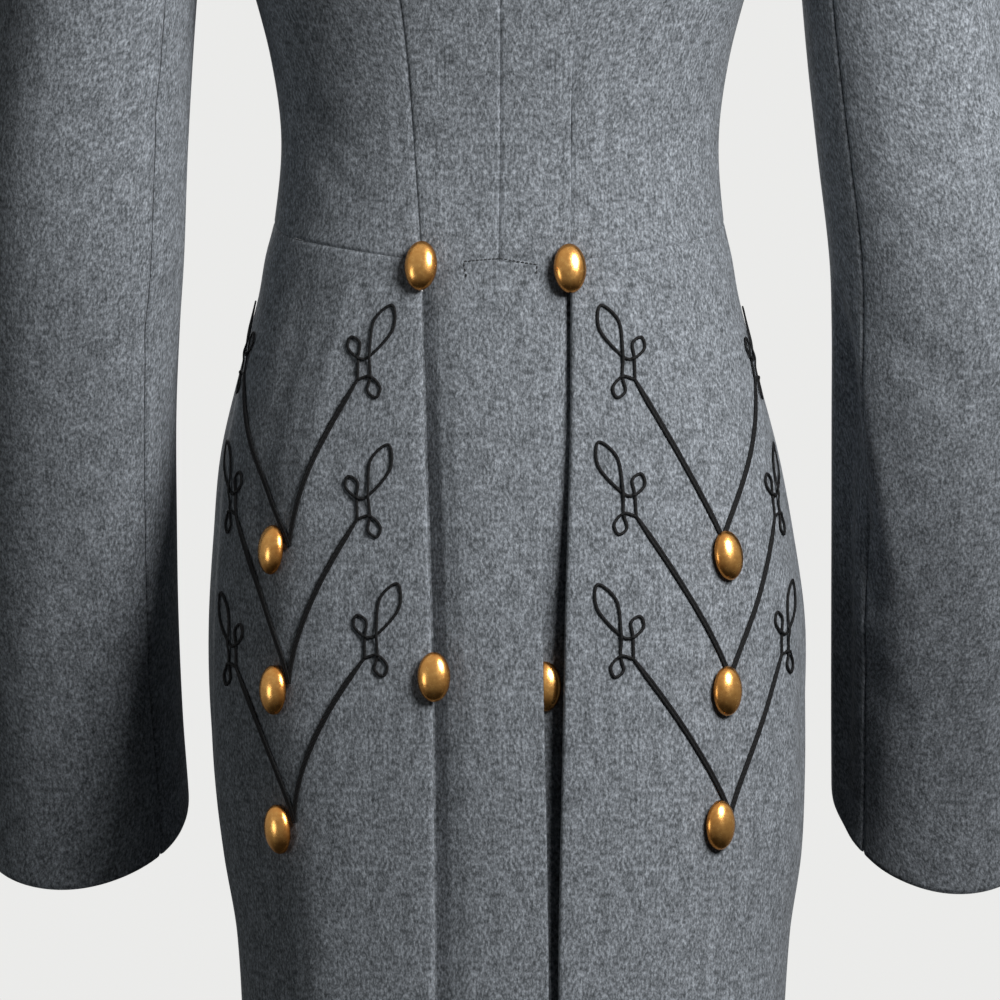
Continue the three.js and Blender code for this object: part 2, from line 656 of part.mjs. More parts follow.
function toManifold(geometry) {
  const merged = mergeVertices(geometry, 1e-4);
  const vertProperties = new Float32Array(merged.attributes.position.array);
  const triVerts = new Uint32Array(merged.index.array);
  return new wasm.Manifold(new wasm.Mesh({ numProp: 3, vertProperties, triVerts }));
}

// A chevron of braid: two arms from its foot, each with a knot, all one piece.
function addChevron(chevron) {
  const { side } = chevron;
  const surface = tailSurface(side);
  const parts = [];
  for (const [toAngle, toZ, curve, turn] of [
    [chevron.innerAngle, chevron.innerZ, chevron.innerCurve, -1],
    [chevron.outerAngle, chevron.outerZ, chevron.outerCurve, 1],
  ]) {
    const arm = gridLines([ARM_STEPS]).map((t) => [
      side * lerp(chevron.angle, toAngle, t ** curve), lerp(chevron.foot, toZ + 1, t), 0,
    ]);
    const knot = knotPath().map(([away, up, rise]) => [
      shiftAngle(above(side * toAngle, toZ, toZ + up), toZ + up, side * turn * away), toZ + up, rise,
    ]);
    parts.push(braidStrip(surface, arm, BRAID.doubled, turn > 0 ? 0 : 0.1));
    parts.push(braidStrip(surface, knot, BRAID.width, 0.2));
  }
  const joined = parts.map(toManifold).reduce((whole, part) => whole.add(part)).getMesh();
  const geometry = new THREE.BufferGeometry();
  geometry.setAttribute("position", new THREE.BufferAttribute(joined.vertProperties, 3));
  geometry.setIndex(new THREE.BufferAttribute(joined.triVerts, 1));
  add(`braid_${sideName(side)}_${chevron.row}`, geometry, BRAID_BLACK);
}

for (const side of [1, -1]) {
  addBack(side);
  addSideBody(side);
  addFront(side);
  addTail(side);
  addSleeve(side);
}
addCollar();
records(CHEVRONS).forEach(addChevron);
for (const { name, side, x, z, lift } of records(BACK_BUTTONS)) {
  addButton(name, tailSurface(side), angleAt(side * x, z), z, lift);
}
for (let i = 0; i < FRONT_BUTTONS.count; i++) {
  const z = lerp(FRONT_BUTTONS.top, FRONT_BUTTONS.bottom, i / (FRONT_BUTTONS.count - 1));
  addButton(`front_button_${i + 1}`, form, 180, z, 0);
}

export default coat;
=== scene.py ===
import math
import bpy
import numpy as np
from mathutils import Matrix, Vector


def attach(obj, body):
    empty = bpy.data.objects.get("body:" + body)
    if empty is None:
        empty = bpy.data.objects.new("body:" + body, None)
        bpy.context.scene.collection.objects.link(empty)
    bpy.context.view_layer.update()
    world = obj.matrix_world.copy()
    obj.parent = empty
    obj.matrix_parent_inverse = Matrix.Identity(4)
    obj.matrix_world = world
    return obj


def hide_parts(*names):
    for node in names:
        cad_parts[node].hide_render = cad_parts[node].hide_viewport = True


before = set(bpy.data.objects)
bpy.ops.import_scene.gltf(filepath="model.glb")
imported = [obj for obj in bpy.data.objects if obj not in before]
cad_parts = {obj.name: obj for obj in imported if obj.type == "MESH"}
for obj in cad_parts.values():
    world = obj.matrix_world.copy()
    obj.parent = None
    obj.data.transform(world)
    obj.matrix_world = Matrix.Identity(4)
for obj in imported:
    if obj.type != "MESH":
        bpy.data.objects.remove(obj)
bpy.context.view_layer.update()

# Studio: a pale floor far below the coat in pale surroundings, a large soft lamp high on the right, a
# weak one low on the left and one for the coat's front. The camera looks level at the back from far
# away through a long lens, and its frame is that of the close-up.
VIEW_MIDDLE = Vector((0.0, 0.03, -0.5289))
VIEW_WIDTH = 0.56
VIEW_AWAY = 8.0
FLOOR_RADIUS, FLOOR_HEIGHT, FLOOR_SIDES = 12, -1.46, 96
PALE = (0.831, 0.831, 0.82, 1.0)

camera = bpy.data.objects.new("camera", bpy.data.cameras.new("camera"))
bpy.context.scene.collection.objects.link(camera)
camera.location = VIEW_MIDDLE + Vector((0.0, VIEW_AWAY, 0.0))
camera.rotation_euler = (math.radians(90), 0.0, math.radians(180))
camera.data.sensor_width = 36.0
camera.data.lens = 36.0 * VIEW_AWAY / VIEW_WIDTH
camera.data.clip_end = 100.0
bpy.context.scene.camera = camera

floor_mesh = bpy.data.meshes.new("floor")
around = np.linspace(0, 2 * np.pi, FLOOR_SIDES + 1)[:-1]
floor_points = np.stack([FLOOR_RADIUS * np.cos(around), FLOOR_RADIUS * np.sin(around),
                         np.full(FLOOR_SIDES, FLOOR_HEIGHT)], axis=1)
floor_mesh.from_pydata(floor_points.tolist(), [], [list(range(FLOOR_SIDES))])
floor = bpy.data.objects.new("floor", floor_mesh)
bpy.context.scene.collection.objects.link(floor)
floor_finish = bpy.data.materials.new("floor_paint")
floor_finish.use_nodes = True
for socket, value in (("Base Color", (0.8, 0.8, 0.79, 1.0)), ("Roughness", 0.9),
                      ("Emission Color", PALE), ("Emission Strength", 0.75)):
    floor_finish.node_tree.nodes["Principled BSDF"].inputs[socket].default_value = value
floor_mesh.materials.append(floor_finish)
floor.visible_diffuse = False
floor.visible_glossy = False

world = bpy.data.worlds.new("studio")
bpy.context.scene.world = world
world.use_nodes = True
air = world.node_tree
air.nodes.clear()
seen = air.nodes.new("ShaderNodeBackground")
seen.inputs["Color"].default_value = PALE
fill = air.nodes.new("ShaderNodeBackground")
fill.inputs["Color"].default_value = (0.95, 0.97, 1.0, 1.0)
fill.inputs["Strength"].default_value = 0.03
room = air.nodes.new("ShaderNodeBackground")
room.inputs["Color"].default_value = PALE
up = air.nodes.new("ShaderNodeSeparateXYZ")
height = air.nodes.new("ShaderNodeMapRange")
for socket, value in (("From Min", -0.7), ("From Max", 0.85), ("To Min", 0.03), ("To Max", 0.72)):
    height.inputs[socket].default_value = value
air.links.new(air.nodes.new("ShaderNodeTexCoord").outputs["Generated"], up.inputs["Vector"])
air.links.new(up.outputs["Z"], height.inputs["Value"])
air.links.new(height.outputs["Result"], room.inputs["Strength"])
mirrored = air.nodes.new("ShaderNodeMixShader")
either = air.nodes.new("ShaderNodeMixShader")
whose = air.nodes.new("ShaderNodeLightPath")
sky = air.nodes.new("ShaderNodeOutputWorld")
air.links.new(whose.outputs["Is Glossy Ray"], mirrored.inputs["Fac"])
air.links.new(fill.outputs["Background"], mirrored.inputs[1])
air.links.new(room.outputs["Background"], mirrored.inputs[2])
air.links.new(whose.outputs["Is Camera Ray"], either.inputs["Fac"])
air.links.new(mirrored.outputs["Shader"], either.inputs[1])
air.links.new(seen.outputs["Background"], either.inputs[2])
air.links.new(either.outputs["Shader"], sky.inputs["Surface"])

LAMPS = {  # place, size, watts, colour
    "key": ((-1.27, 1.45, 0.55), 1.0, 63.0, (1.0, 0.99, 0.98)),
    "fill": ((3.5, 1.9, -0.88), 1.4, 15.0, (0.97, 1.0, 0.98)),
    "back": ((0.5, -3.0, 1.2), 1.6, 60.0, (1.0, 1.0, 1.0)),
}
for lamp_name, (place, size, watts, colour) in LAMPS.items():
    lamp = bpy.data.lights.new(lamp_name, "AREA")
    lamp.shape = "DISK"
    lamp.size = size
    lamp.energy = watts
    lamp.color = colour
    holder = bpy.data.objects.new(lamp_name, lamp)
    holder.location = place
    holder.rotation_euler = (VIEW_MIDDLE - Vector(place)).to_track_quat("-Z", "Y").to_euler()
    holder.visible_camera = False
    bpy.context.scene.collection.objects.link(holder)
bpy.context.scene.view_settings.view_transform = "Standard"
bpy.context.scene.view_settings.look = "None"

# Backs: two panels of grey wool joined by the centre seam and cut in one with their skirts. Below the
# waist the left skirt laps over the right one, and the vent between them is stitched across its top.
# Both go on under the tails in the side pleats, the right one deep down. All sizes are in millimetres.
WALL = 1.6
SEAM = 0.04
LAYER = WALL + 0.4
SQUARE = 2.25
WAIST = -396
PLEAT_TOP = -412
HEM = -858
SIDE_NECK = -12
FRONT_NECK = -56
BODY = "z half_width back front shift".split(), np.array([
    [HEM, 150, 112, 112, -7.5],
    [-773, 155, 115, 112, -7.8],
    [-728, 162, 117, 112, -7.3],
    [-683, 165.8, 119, 112, -5.6],
    [-639, 167, 120, 112, -4.5],
    [-594, 166.6, 118, 111, -4],
    [-549, 162.4, 114, 109, -2.2],
    [-504, 156.5, 109, 107, 0],
    [-459, 146, 103, 104, 0.8],
    [-415, 135, 96, 102, 0.8],
    [-392, 131, 93, 101, 0.8],
    [-370, 126, 90, 100, 0.5],
    [-325, 123, 88, 98, 0],
    [-280, 129, 95, 103, 0],
    [-230, 142, 106, 111, 0],
    [-190, 151, 111, 114, 0],
    [-150, 163, 110, 110, 0],
    [-105, 184, 102, 97, 0],
    [-75, 200, 92, 85, 0],
    [-60, 203, 86, 78, 0],
    [-48, 176, 80, 71, 0],
    [-36, 140, 75, 65, 0],
    [-24, 104, 69, 59, 0],
    [SIDE_NECK, 68, 63, 53, 0],
    [4, 50, 57, 44, 0],
])
SEAMS = "z left right".split(), np.array([
    [HEM, 36.5, 32.5],
    [-780, 36.5, 32.5],
    [-642, 37.5, 35.3],
    [-586, 39, 36.4],
    [-495, 42, 39],
    [PLEAT_TOP, 44, 39.6],
    [WAIST, 44, 39.4],
    [-330, 48.5, 40.2],
    [-278, 52.6, 41.5],
    [-240, 59, 50],
    [-200, 77, 71],
    [-170, 104, 101],
    [-148, 136, 136],
])
VENT = "z middle left_pleat right_pleat lap_edge hollow_from hollow_to".split(), np.array([
    [HEM, 3, 6.6, 7.5, 27, 8, 17],
    [-780, 3, 6.8, 10.5, 27, 8, 15],
    [-632, 2.2, 7.8, 14.8, 24.2, 7, 15],
    [-560, 2.4, 9, 11.5, 23, 12, 22],
    [-520, 2.4, 9.2, 8.6, 23, 20, 31],
    [-490, 2.4, 8.8, 7, 23, 28, 35.5],
    [-440, 1.8, 7, 6.2, 22.6, 34, 38.2],
    [PLEAT_TOP, 0.8, 5.9, 5.9, 22, 35.6, 38.8],
    [WAIST, 0, 0, 0, 21, 35.6, 38.8],
])
UNDERLAP = 21
PLEAT_DEPTH = 28
ARMHOLE_MIDDLE, ARMHOLE_HALF_HEIGHT, ARMHOLE_HALF_ANGLE = -126, 66, 36
ARMHOLE_TURNS = np.array([-90, -84, -78, -68, -56, -45, -32, -20, -10, 0,
                          10, 20, 30, 40, 50, 60, 68, 75, 82, 90])
SEAM_TURN = -20
ROLL_DEPTH, ROLL_WIDTH, HEM_ROLL = 0.85, 0.9, 0.7
NO_EDGE = 99  # so far from an edge that nothing of its roll is left
EVEN_STOPS = 0.6, 0.8  # above the waist, shares of the way from the centre seam to the side-back seam
NECK_FADE = -150
LAP_STEP = 8  # above the waist the lower layer comes level over this height
CURVED_FROM = -240  # from the waist to here the grid goes over from the vent's lines to even ones
HOLLOW_SHARE = 0.3  # of the step from the vent's middle to the pleat, at the far side of the hollow
NECK_POWER = 9  # keeps the fall of the neck seam close to the front closing
WIDEST = 0.999  # share of the half width up to which a point still has an angle
ROW_STEP = 4.0
BACK_STEPS, BACK_GRAIN = (10, 11, 6, 5, 6), 0.2
SHARP_EDGE = math.radians(50)
BACK_DEGREE = 1.9  # millimetres to a degree, for the creases
# Each crease: from (degrees, height) to (degrees, height), then its width and its height over the cloth
BACK_CREASES = np.array([
    [6, -372, 30, -300, 9, -0.9],
    [-5, -366, -27, -292, 10, -0.8],
    [3, -340, 22, -262, 8, -0.6],
    [12, -440, 13.5, -850, 9, -0.8],
    [2, -430, -1, -850, 10, 0.9],
    [-11.5, -430, -12, -880, 11, 2.0],
    [17.4, -424, 16.6, -900, 13, -2.6],
])


def reading(table, column, z):
    """A named column at heights z: a cubic from row to row, with the slope of the rows beside each row."""
    names, rows = table
    heights = rows[:, 0]
    values = rows[:, names.index(column)]
    last = len(rows) - 1
    z = np.clip(z, heights[0], heights[last])
    i = np.clip(np.searchsorted(heights, z) - 1, 0, last - 1)
    before = np.maximum(np.arange(last + 1) - 1, 0)
    after = np.minimum(np.arange(last + 1) + 1, last)
    slopes = (values[after] - values[before]) / (heights[after] - heights[before])
    span = heights[i + 1] - heights[i]
    t = (z - heights[i]) / span
    rise = values[i + 1] - values[i]
    bend = (slopes[i] * span - rise) * (1 - t) - (slopes[i + 1] * span - rise) * t
    return values[i] + rise * t + t * (1 - t) * bend


def oval(angle, half_width, half_depth):
    """A point at an angle on a level oval: its direction from the middle, out to a superellipse."""
    s = np.sin(np.radians(angle))
    c = np.cos(np.radians(angle))
    reach = (np.abs(s) ** SQUARE + np.abs(c) ** SQUARE) ** (-1 / SQUARE)
    return half_width * reach * s, half_depth * reach * c


def form(angle, z):
    """The worn form: a level oval at each height, as wide and deep as the table says and moved sideways."""
    angle, z = np.broadcast_arrays(np.asarray(angle, float), np.asarray(z, float))
    back = np.cos(np.radians(angle)) > 0
    depth = np.where(back, reading(BODY, "back", z), reading(BODY, "front", z))
    x, y = oval(angle, reading(BODY, "half_width", z), depth)
    return np.stack([x + reading(BODY, "shift", z), y, z], axis=-1)


def unit(v):
    """Each vector divided by its length."""
    return v / np.maximum(np.linalg.norm(v, axis=-1, keepdims=True), 1e-9)


def facing(surface, across, up):
    """The unit vector square to a surface: its step up crossed with its step to the left."""
    side = surface(across + 0.5, up) - surface(across - 0.5, up)
    rise = surface(across, up + 0.5) - surface(across, up - 0.5)
    return unit(np.cross(rise, side))


def off(surface, across, up, out):
    """A surface moved out along its facing by a distance."""
    across, up = np.broadcast_arrays(np.asarray(across, float), np.asarray(up, float))
    return surface(across, up) + facing(surface, across, up) * np.asarray(out)[..., None]


def angle_at(x, z):
    """The angle whose point of the form lies at x: the superellipse solved for its direction."""
    away = x - reading(BODY, "shift", z)
    share = np.minimum(np.abs(away) / reading(BODY, "half_width", z), WIDEST) ** SQUARE
    return np.sign(away) * np.degrees(np.arctan((share / (1 - share)) ** (1 / SQUARE)))


def degree(angle, z):
    """Millimetres to a degree of the form."""
    return np.linalg.norm(form(angle + 0.5, z) - form(angle - 0.5, z), axis=-1)


def shift_angle(angle, z, distance):
    """An angle moved along the form by millimetres."""
    return angle + distance / degree(angle, z)


def between(stops, u):
    """A straight run from stop to stop: 1.4 is 40% of the way from stop 1 to stop 2."""
    stops = np.stack(np.broadcast_arrays(*stops, u)[:-1]).astype(float)
    i = np.clip(np.floor(u).astype(int), 0, len(stops) - 2)
    low = np.take_along_axis(stops, i[None], 0)[0]
    high = np.take_along_axis(stops, i[None] + 1, 0)[0]
    return low + (high - low) * (u - i)


def smooth(value, start, end):
    """0 before start, 1 after end and an S-curve between them."""
    t = np.clip((value - start) / (end - start), 0, 1)
    return t * t * (3 - 2 * t)


def lines(*counts, fine=()):
    """Grid lines between stops: equal steps from stop to stop, and closer ones beside each stop in fine."""
    even = [i + np.arange(1, count + 1) / count for i, count in enumerate(counts)]
    near = np.array([-0.12, -0.07, -0.035, -0.015, 0.015, 0.035, 0.07, 0.12])
    extra = [stop + near for stop in fine]
    both = np.concatenate([[0.0], *even, *extra])
    return np.unique(np.round(both[(both >= 0) & (both <= len(counts))], 5))


def levels(stops, step, fine=()):
    """Grid rows through every stop, at most a step apart, with closer ones beside each height in fine."""
    stops = np.unique(np.asarray(stops, float))
    parts = [np.linspace(a, b, int(math.ceil((b - a) / step)) + 1)
             for a, b in zip(stops[:-1], stops[1:])]
    near = np.array([-3.4, -2.0, -1.1, -0.5, 0.5, 1.1, 2.0, 3.4])
    extra = [height + near for height in fine]
    both = np.concatenate([*parts, *extra])
    return np.unique(np.round(both[(both >= stops[0]) & (both <= stops[-1])], 4))


def turned(distance):
    """How far cloth rolls down at a sewn or turned edge: a bell over the distance from the edge."""
    return ROLL_DEPTH * np.exp(-(np.asarray(distance) / ROLL_WIDTH) ** 2)


def creases(table, angle, z, per_degree):
    """Soft creases: each a bell across a straight line, fading to nothing at the line's two ends."""
    height = 0.0
    for angle_a, z_a, angle_b, z_b, width, depth in table:
        along_x, along_z = (angle_b - angle_a) * per_degree, z_b - z_a
        x, y = (angle - angle_a) * per_degree, z - z_a
        t = np.clip((x * along_x + y * along_z) / (along_x ** 2 + along_z ** 2), 0, 1)
        away = (x - t * along_x) ** 2 + (y - t * along_z) ** 2
        height = height + depth * np.exp(-away / width ** 2) * (1 - (2 * t - 1) ** 4)
    return height


def armhole_row(turn):
    """Height of the armhole's edge at a turn round it: its middle and a sine."""
    return ARMHOLE_MIDDLE + ARMHOLE_HALF_HEIGHT * np.sin(np.radians(turn))


def armhole_angle(z):
    """Half the armhole's angle at a height: an ellipse, nothing above and below it."""
    up = (z - ARMHOLE_MIDDLE) / ARMHOLE_HALF_HEIGHT
    return ARMHOLE_HALF_ANGLE * np.sqrt(np.maximum(0, 1 - up * up))


JUNCTION = float(armhole_row(SEAM_TURN))


def neckline(angle):
    """Height of the neck seam: highest at the nape, down to the shoulder and far down at the front."""
    c = np.cos(np.radians(angle))
    front = SIDE_NECK + (FRONT_NECK - SIDE_NECK) * np.maximum(-c, 0) ** NECK_POWER
    return np.where(c > 0, SIDE_NECK * (1 - c * c), front)


def neck_bend(spread, row):
    """How far level rows bend to the neck seam: all of it at the neck, nothing 138 mm below."""
    return (neckline(spread) - SIDE_NECK) * np.clip((row - NECK_FADE) / (SIDE_NECK - NECK_FADE), 0, 1)


def seam_angle(side, z):
    """The angle of the side-back seam, and below the waist of the side pleat's fold."""
    return angle_at(side * reading(SEAMS, "left" if side > 0 else "right", z), z)


def cloth(name, columns, rows, place, keep=None, grain=0.5):
    """A wall of cloth over a grid: place(u, row, depth) gives its outer and inner side, joined round every
    edge of the kept cells. The UV map is the cloth's own length across and along, in metres."""
    u, row = np.meshgrid(columns, rows, indexing="ij")
    outer = place(u, row, 0.0)
    inner = place(u, row, WALL)
    index = np.arange(u.size).reshape(u.shape)
    middles = np.meshgrid((columns[1:] + columns[:-1]) / 2, (rows[1:] + rows[:-1]) / 2, indexing="ij")
    kept = np.ones(middles[0].shape, bool) if keep is None else keep(*middles)
    a, b, c, d = index[:-1, :-1], index[:-1, 1:], index[1:, 1:], index[1:, :-1]
    faces = [np.stack([a, b, c, d], -1)[kept], np.stack([a, d, c, b], -1)[kept] + u.size]
    ring = np.pad(kept, 1)
    for p, q, beside in ((a, b, ring[:-2, 1:-1]), (b, c, ring[1:-1, 2:]),
                         (c, d, ring[2:, 1:-1]), (d, a, ring[1:-1, :-2])):
        border = kept & ~beside
        faces.append(np.stack([q[border], p[border], p[border] + u.size, q[border] + u.size], -1))
    faces = np.concatenate(faces)
    points = np.concatenate([outer.reshape(-1, 3), inner.reshape(-1, 3)]) * 0.001
    p = points[faces]
    volume = np.einsum("ij,ij->", p[:, 0], np.cross(p[:, 1], p[:, 2]))
    volume += np.einsum("ij,ij->", p[:, 0], np.cross(p[:, 2], p[:, 3]))
    if volume < 0:
        faces = faces[:, ::-1]
    across = np.pad(np.cumsum(np.linalg.norm(np.diff(outer, axis=0), axis=-1), axis=0), ((1, 0), (0, 0)))
    along = np.pad(np.cumsum(np.linalg.norm(np.diff(outer, axis=1), axis=-1), axis=1), ((0, 0), (1, 0)))
    start = np.argmin(np.abs(columns - columns[-1] * grain))
    uv = np.stack([across - across[start], along], -1).reshape(-1, 2) * 0.001
    uv = np.concatenate([uv, uv])
    used, faces = np.unique(faces, return_inverse=True)
    faces = faces.reshape(-1, 4)
    return sewn_piece(name, points[used], faces.tolist(), uv[used])


def sewn_piece(name, points, faces, uv):
    """A mesh object at the origin, smooth but for its sharp edges, with a UV map from a place per point."""
    mesh = bpy.data.meshes.new(name)
    mesh.from_pydata(points.tolist(), [], faces)
    corners = np.empty(len(mesh.loops), np.int32)
    mesh.loops.foreach_get("vertex_index", corners)
    layer = mesh.uv_layers.new(name="surface")
    layer.data.foreach_set("uv", uv[corners].astype(np.float32).ravel())
    mesh.shade_smooth()
    mesh.set_sharp_from_angle(angle=SHARP_EDGE)
    piece = bpy.data.objects.new(name, mesh)
    bpy.context.scene.collection.objects.link(piece)
    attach(piece, "root")
    return piece


def dressed(piece, finish, node):
    """A piece with its finish, in the place of its solid."""
    piece.data.materials.append(finish)
    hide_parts(node)
    return piece


class Value:
    """A socket that carries a number, so that sums on it add Math nodes."""

    def __init__(self, finish, socket):
        self.finish = finish
        self.socket = socket

    def math(self, operation, a, b):
        return self.finish.add("ShaderNodeMath", {"operation": operation}, {0: a, 1: b})

    def __add__(self, other):
        return self.math("ADD", self, other)

    def __radd__(self, other):
        return self.math("ADD", other, self)

    def __sub__(self, other):
        return self.math("SUBTRACT", self, other)

    def __rsub__(self, other):
        return self.math("SUBTRACT", other, self)

    def __mul__(self, other):
        return self.math("MULTIPLY", self, other)

    def __rmul__(self, other):
        return self.math("MULTIPLY", other, self)


class Finish:
    """A material: add() makes any node, and to() links or sets a socket of the surface's shader."""

    def __init__(self, name):
        self.material = bpy.data.materials.new(name)
        self.material.use_nodes = True
        self.tree = self.material.node_tree
        self.surface = self.tree.nodes["Principled BSDF"]

    def put(self, socket, value):
        if isinstance(value, Value):
            self.tree.links.new(value.socket, socket)
        else:
            socket.default_value = value

    def add(self, kind, settings, values, output=0):
        node = self.tree.nodes.new(kind)
        for key, setting in settings.items():
            setattr(node, key, setting)
        for key, value in values.items():
            self.put(node.inputs[key], value)
        return Value(self, node.outputs[output])

    def to(self, **values):
        for key, value in values.items():
            self.put(self.surface.inputs[key.replace("_", " ")], value)


PALE_FIBRE = (0.385, 0.42, 0.464, 1.0)
DARK_FIBRE = (0.046, 0.052, 0.057, 1.0)
FLECK, FIBRE, CLOUD = (660.0, 340.0, 2.0), (1400.0, 800.0, 1.0), (150.0, 70.0, 3.0)  # across, along, detail
FLECK_PART, FIBRE_PART, CLOUD_PART = 1.54, 0.81, 0.62
PALE_PART = 0.573
DARK_LEAN = 0.8  # how far the tones gather at the dark end: 0 not at all, 1 as a square


def wool():
    """Salt-and-pepper wool: pale and dark fibres as short upright flecks, faintly clouded in the dye."""
    finish = Finish("grey_wool")
    length = finish.add("ShaderNodeTexCoord", {}, {}, "UV")

    def grain(across, along, detail):
        scaled = finish.add("ShaderNodeMapping", {}, {"Vector": length, "Scale": (across, along, 1.0)})
        return finish.add("ShaderNodeTexNoise", {}, {"Vector": scaled, "Scale": 1.0, "Detail": detail})

    fleck, fibre, cloud = grain(*FLECK), grain(*FIBRE), grain(*CLOUD)
    fibres = (fleck - 0.5) * FLECK_PART + (fibre - 0.5) * FIBRE_PART
    fibres = fibres + (cloud - 0.5) * CLOUD_PART + PALE_PART
    share = fibres * (fibres * DARK_LEAN + (1 - DARK_LEAN))
    colour = finish.add("ShaderNodeMix", {"data_type": "RGBA"}, {0: share, 6: DARK_FIBRE, 7: PALE_FIBRE}, 2)
    nap = finish.add("ShaderNodeBump", {}, {"Strength": 0.35, "Distance": 0.0003, "Height": fleck + fibre})
    finish.to(Base_Color=colour, Normal=nap, Roughness=0.92)
    finish.to(Sheen_Weight=0.12, Sheen_Roughness=0.4, Specular_IOR_Level=0.2)
    return finish.material


WOOL = wool()


def back(side):
    """A back panel: an angle round the form from the vent's edge or the centre seam to the side-back seam
    and on under the tail, at a depth that steps down into the vent and the pleat."""
    laps = side > 0

    def place(u, row, depth):
        edge = np.where(row < JUNCTION, seam_angle(side, row), side * (90 - armhole_angle(row)))
        fold = shift_angle(edge, row, -side * SEAM / 2)
        centre = shift_angle(0.0, row, side * SEAM / 2)
        far, farther = [centre + (fold - centre) * share for share in EVEN_STOPS]
        spread = smooth(row, WAIST, CURVED_FROM)
        free = far if laps else angle_at(-reading(VENT, "hollow_from", row), row)
        clear = farther if laps else angle_at(-reading(VENT, "hollow_to", row), row)
        tip = -reading(VENT, "lap_edge", row) if laps else np.full_like(row, UNDERLAP)
        angle = between([
            angle_at(tip, row), centre, free + (far - free) * spread, clear + (farther - clear) * spread,
            fold, shift_angle(fold, row, side * (PLEAT_DEPTH + 3)),
        ], u)
        middle = reading(VENT, "middle", row)
        pleat = reading(VENT, "left_pleat" if laps else "right_pleat", row)
        lapped = middle + LAYER * (1 - smooth(row, WAIST, WAIST + LAP_STEP))
        if laps:
            hollow = middle + (pleat - middle) * HOLLOW_SHARE
            sunk = between([middle, middle, middle, hollow, pleat, pleat], u)
        else:
            sunk = between([lapped, lapped, lapped, pleat, pleat, pleat], u)
        height = creases(BACK_CREASES, angle, row, BACK_DEGREE)
        if depth == 0:
            mm = degree(angle, row)
            above = row > WAIST
            at_centre = np.abs(angle - centre) * mm + np.where(above, 0, NO_EDGE)
            at_fold = np.abs(angle - fold) * mm + np.where(above, 0, NO_EDGE)
            at_tip = np.abs(angle - angle_at(tip, row)) * mm + np.where(above, NO_EDGE, 0)
            at_top = np.where(u < 1, np.abs(row - (WAIST - SEAM)), NO_EDGE)
            height = height - turned(at_centre) - turned(at_fold) - turned(at_tip) * HEM_ROLL
            height = height - turned(row - HEM) * HEM_ROLL - turned(at_top) * (1 if laps else 0)
        return off(form, angle, row + neck_bend(90 * angle / edge, row), height - sunk - depth)

    def keep(u, row):
        return ((u > 1) | (row < WAIST - SEAM / 2)) & ((u < 4) | (row < PLEAT_TOP))

    stops = [HEM, PLEAT_TOP, WAIST - SEAM, WAIST + LAP_STEP]
    stops += [JUNCTION - SEAM / 2, JUNCTION + SEAM / 2, SIDE_NECK]
    stops += [height for height in armhole_row(ARMHOLE_TURNS) if abs(height - JUNCTION) > 0.5]
    rows = levels(stops, ROW_STEP, fine=(HEM, WAIST - SEAM))
    columns = lines(*BACK_STEPS, fine=(0, 1, 4))
    return cloth("cloth_back_" + ("left" if laps else "right"), columns, rows, place, keep, BACK_GRAIN)


for side, node, area in ((1, "back_left", 0.09), (-1, "back_right", 0.086)):
    panel = dressed(back(side), WOOL, node)

# Side bodies: the panels between the side-back seams and the seams under the arms, of the same wool,
# sewn to the backs and fronts and along the waist seam that rises to the front.
HIP_TURN = 18
TAIL_END = 118
WAIST_RISE = 33
FRONT_DIP = 4
WAIST_FADE = -325
SIDE_DEGREE = 2.2
SIDE_STEPS = 36
SIDE_CREASES = np.array([
    [34, -372, 62, -318, 9, -1.1],
    [30, -350, 70, -286, 8, -0.9],
    [48, -330, 84, -262, 8, -0.8],
    [-32, -368, -60, -322, 9, -1.0],
    [-36, -338, -74, -300, 8, -0.8],
])


def waist_rise(angle):
    """How much higher the waist seam is than at the hip buttons: straight up to the tails, then down."""
    turn = np.abs(angle)
    rise = WAIST_RISE * (turn - HIP_TURN) / (TAIL_END - HIP_TURN)
    fall = WAIST_RISE + (FRONT_DIP - WAIST_RISE) * (turn - TAIL_END) / (180 - TAIL_END)
    return np.where(turn <= TAIL_END, rise, fall)


def waist_bend(angle, row):
    """How far level rows bend to the waist seam: all of it there, nothing 71 mm above."""
    return waist_rise(angle) * (1 - smooth(row, WAIST, WAIST_FADE))


def side_body(side):
    """A side body: the angle runs from the side-back seam to the armhole or side seam, on the form."""

    def place(u, row, depth):
        start = shift_angle(seam_angle(side, row), row, side * SEAM / 2)
        end = shift_angle(side * (90 - armhole_angle(row)), row, -side * SEAM / 2)
        angle = start + (end - start) * u
        height = creases(SIDE_CREASES, angle, row, SIDE_DEGREE)
        if depth == 0:
            mm = degree(angle, row)
            height = height - turned(np.abs(angle - start) * mm) - turned(np.abs(angle - end) * mm)
            height = height - turned(row - WAIST)
        return off(form, angle, row + waist_bend(angle, row), height - depth)

    stops = [WAIST, *[h for h in armhole_row(ARMHOLE_TURNS) if h < JUNCTION - 1], JUNCTION - 2 * SEAM]
    rows = levels(stops, ROW_STEP, fine=(WAIST,))
    columns = lines(SIDE_STEPS, fine=(0, 1))
    return cloth("cloth_side_back_" + ("left" if side > 0 else "right"), columns, rows, place)


for side, node, flat, area in ((1, "side_back_left", (0.137, 0.287), 0.028),
                               (-1, "side_back_right", (0.146, 0.294), 0.03)):
    panel = dressed(side_body(side), WOOL, node)

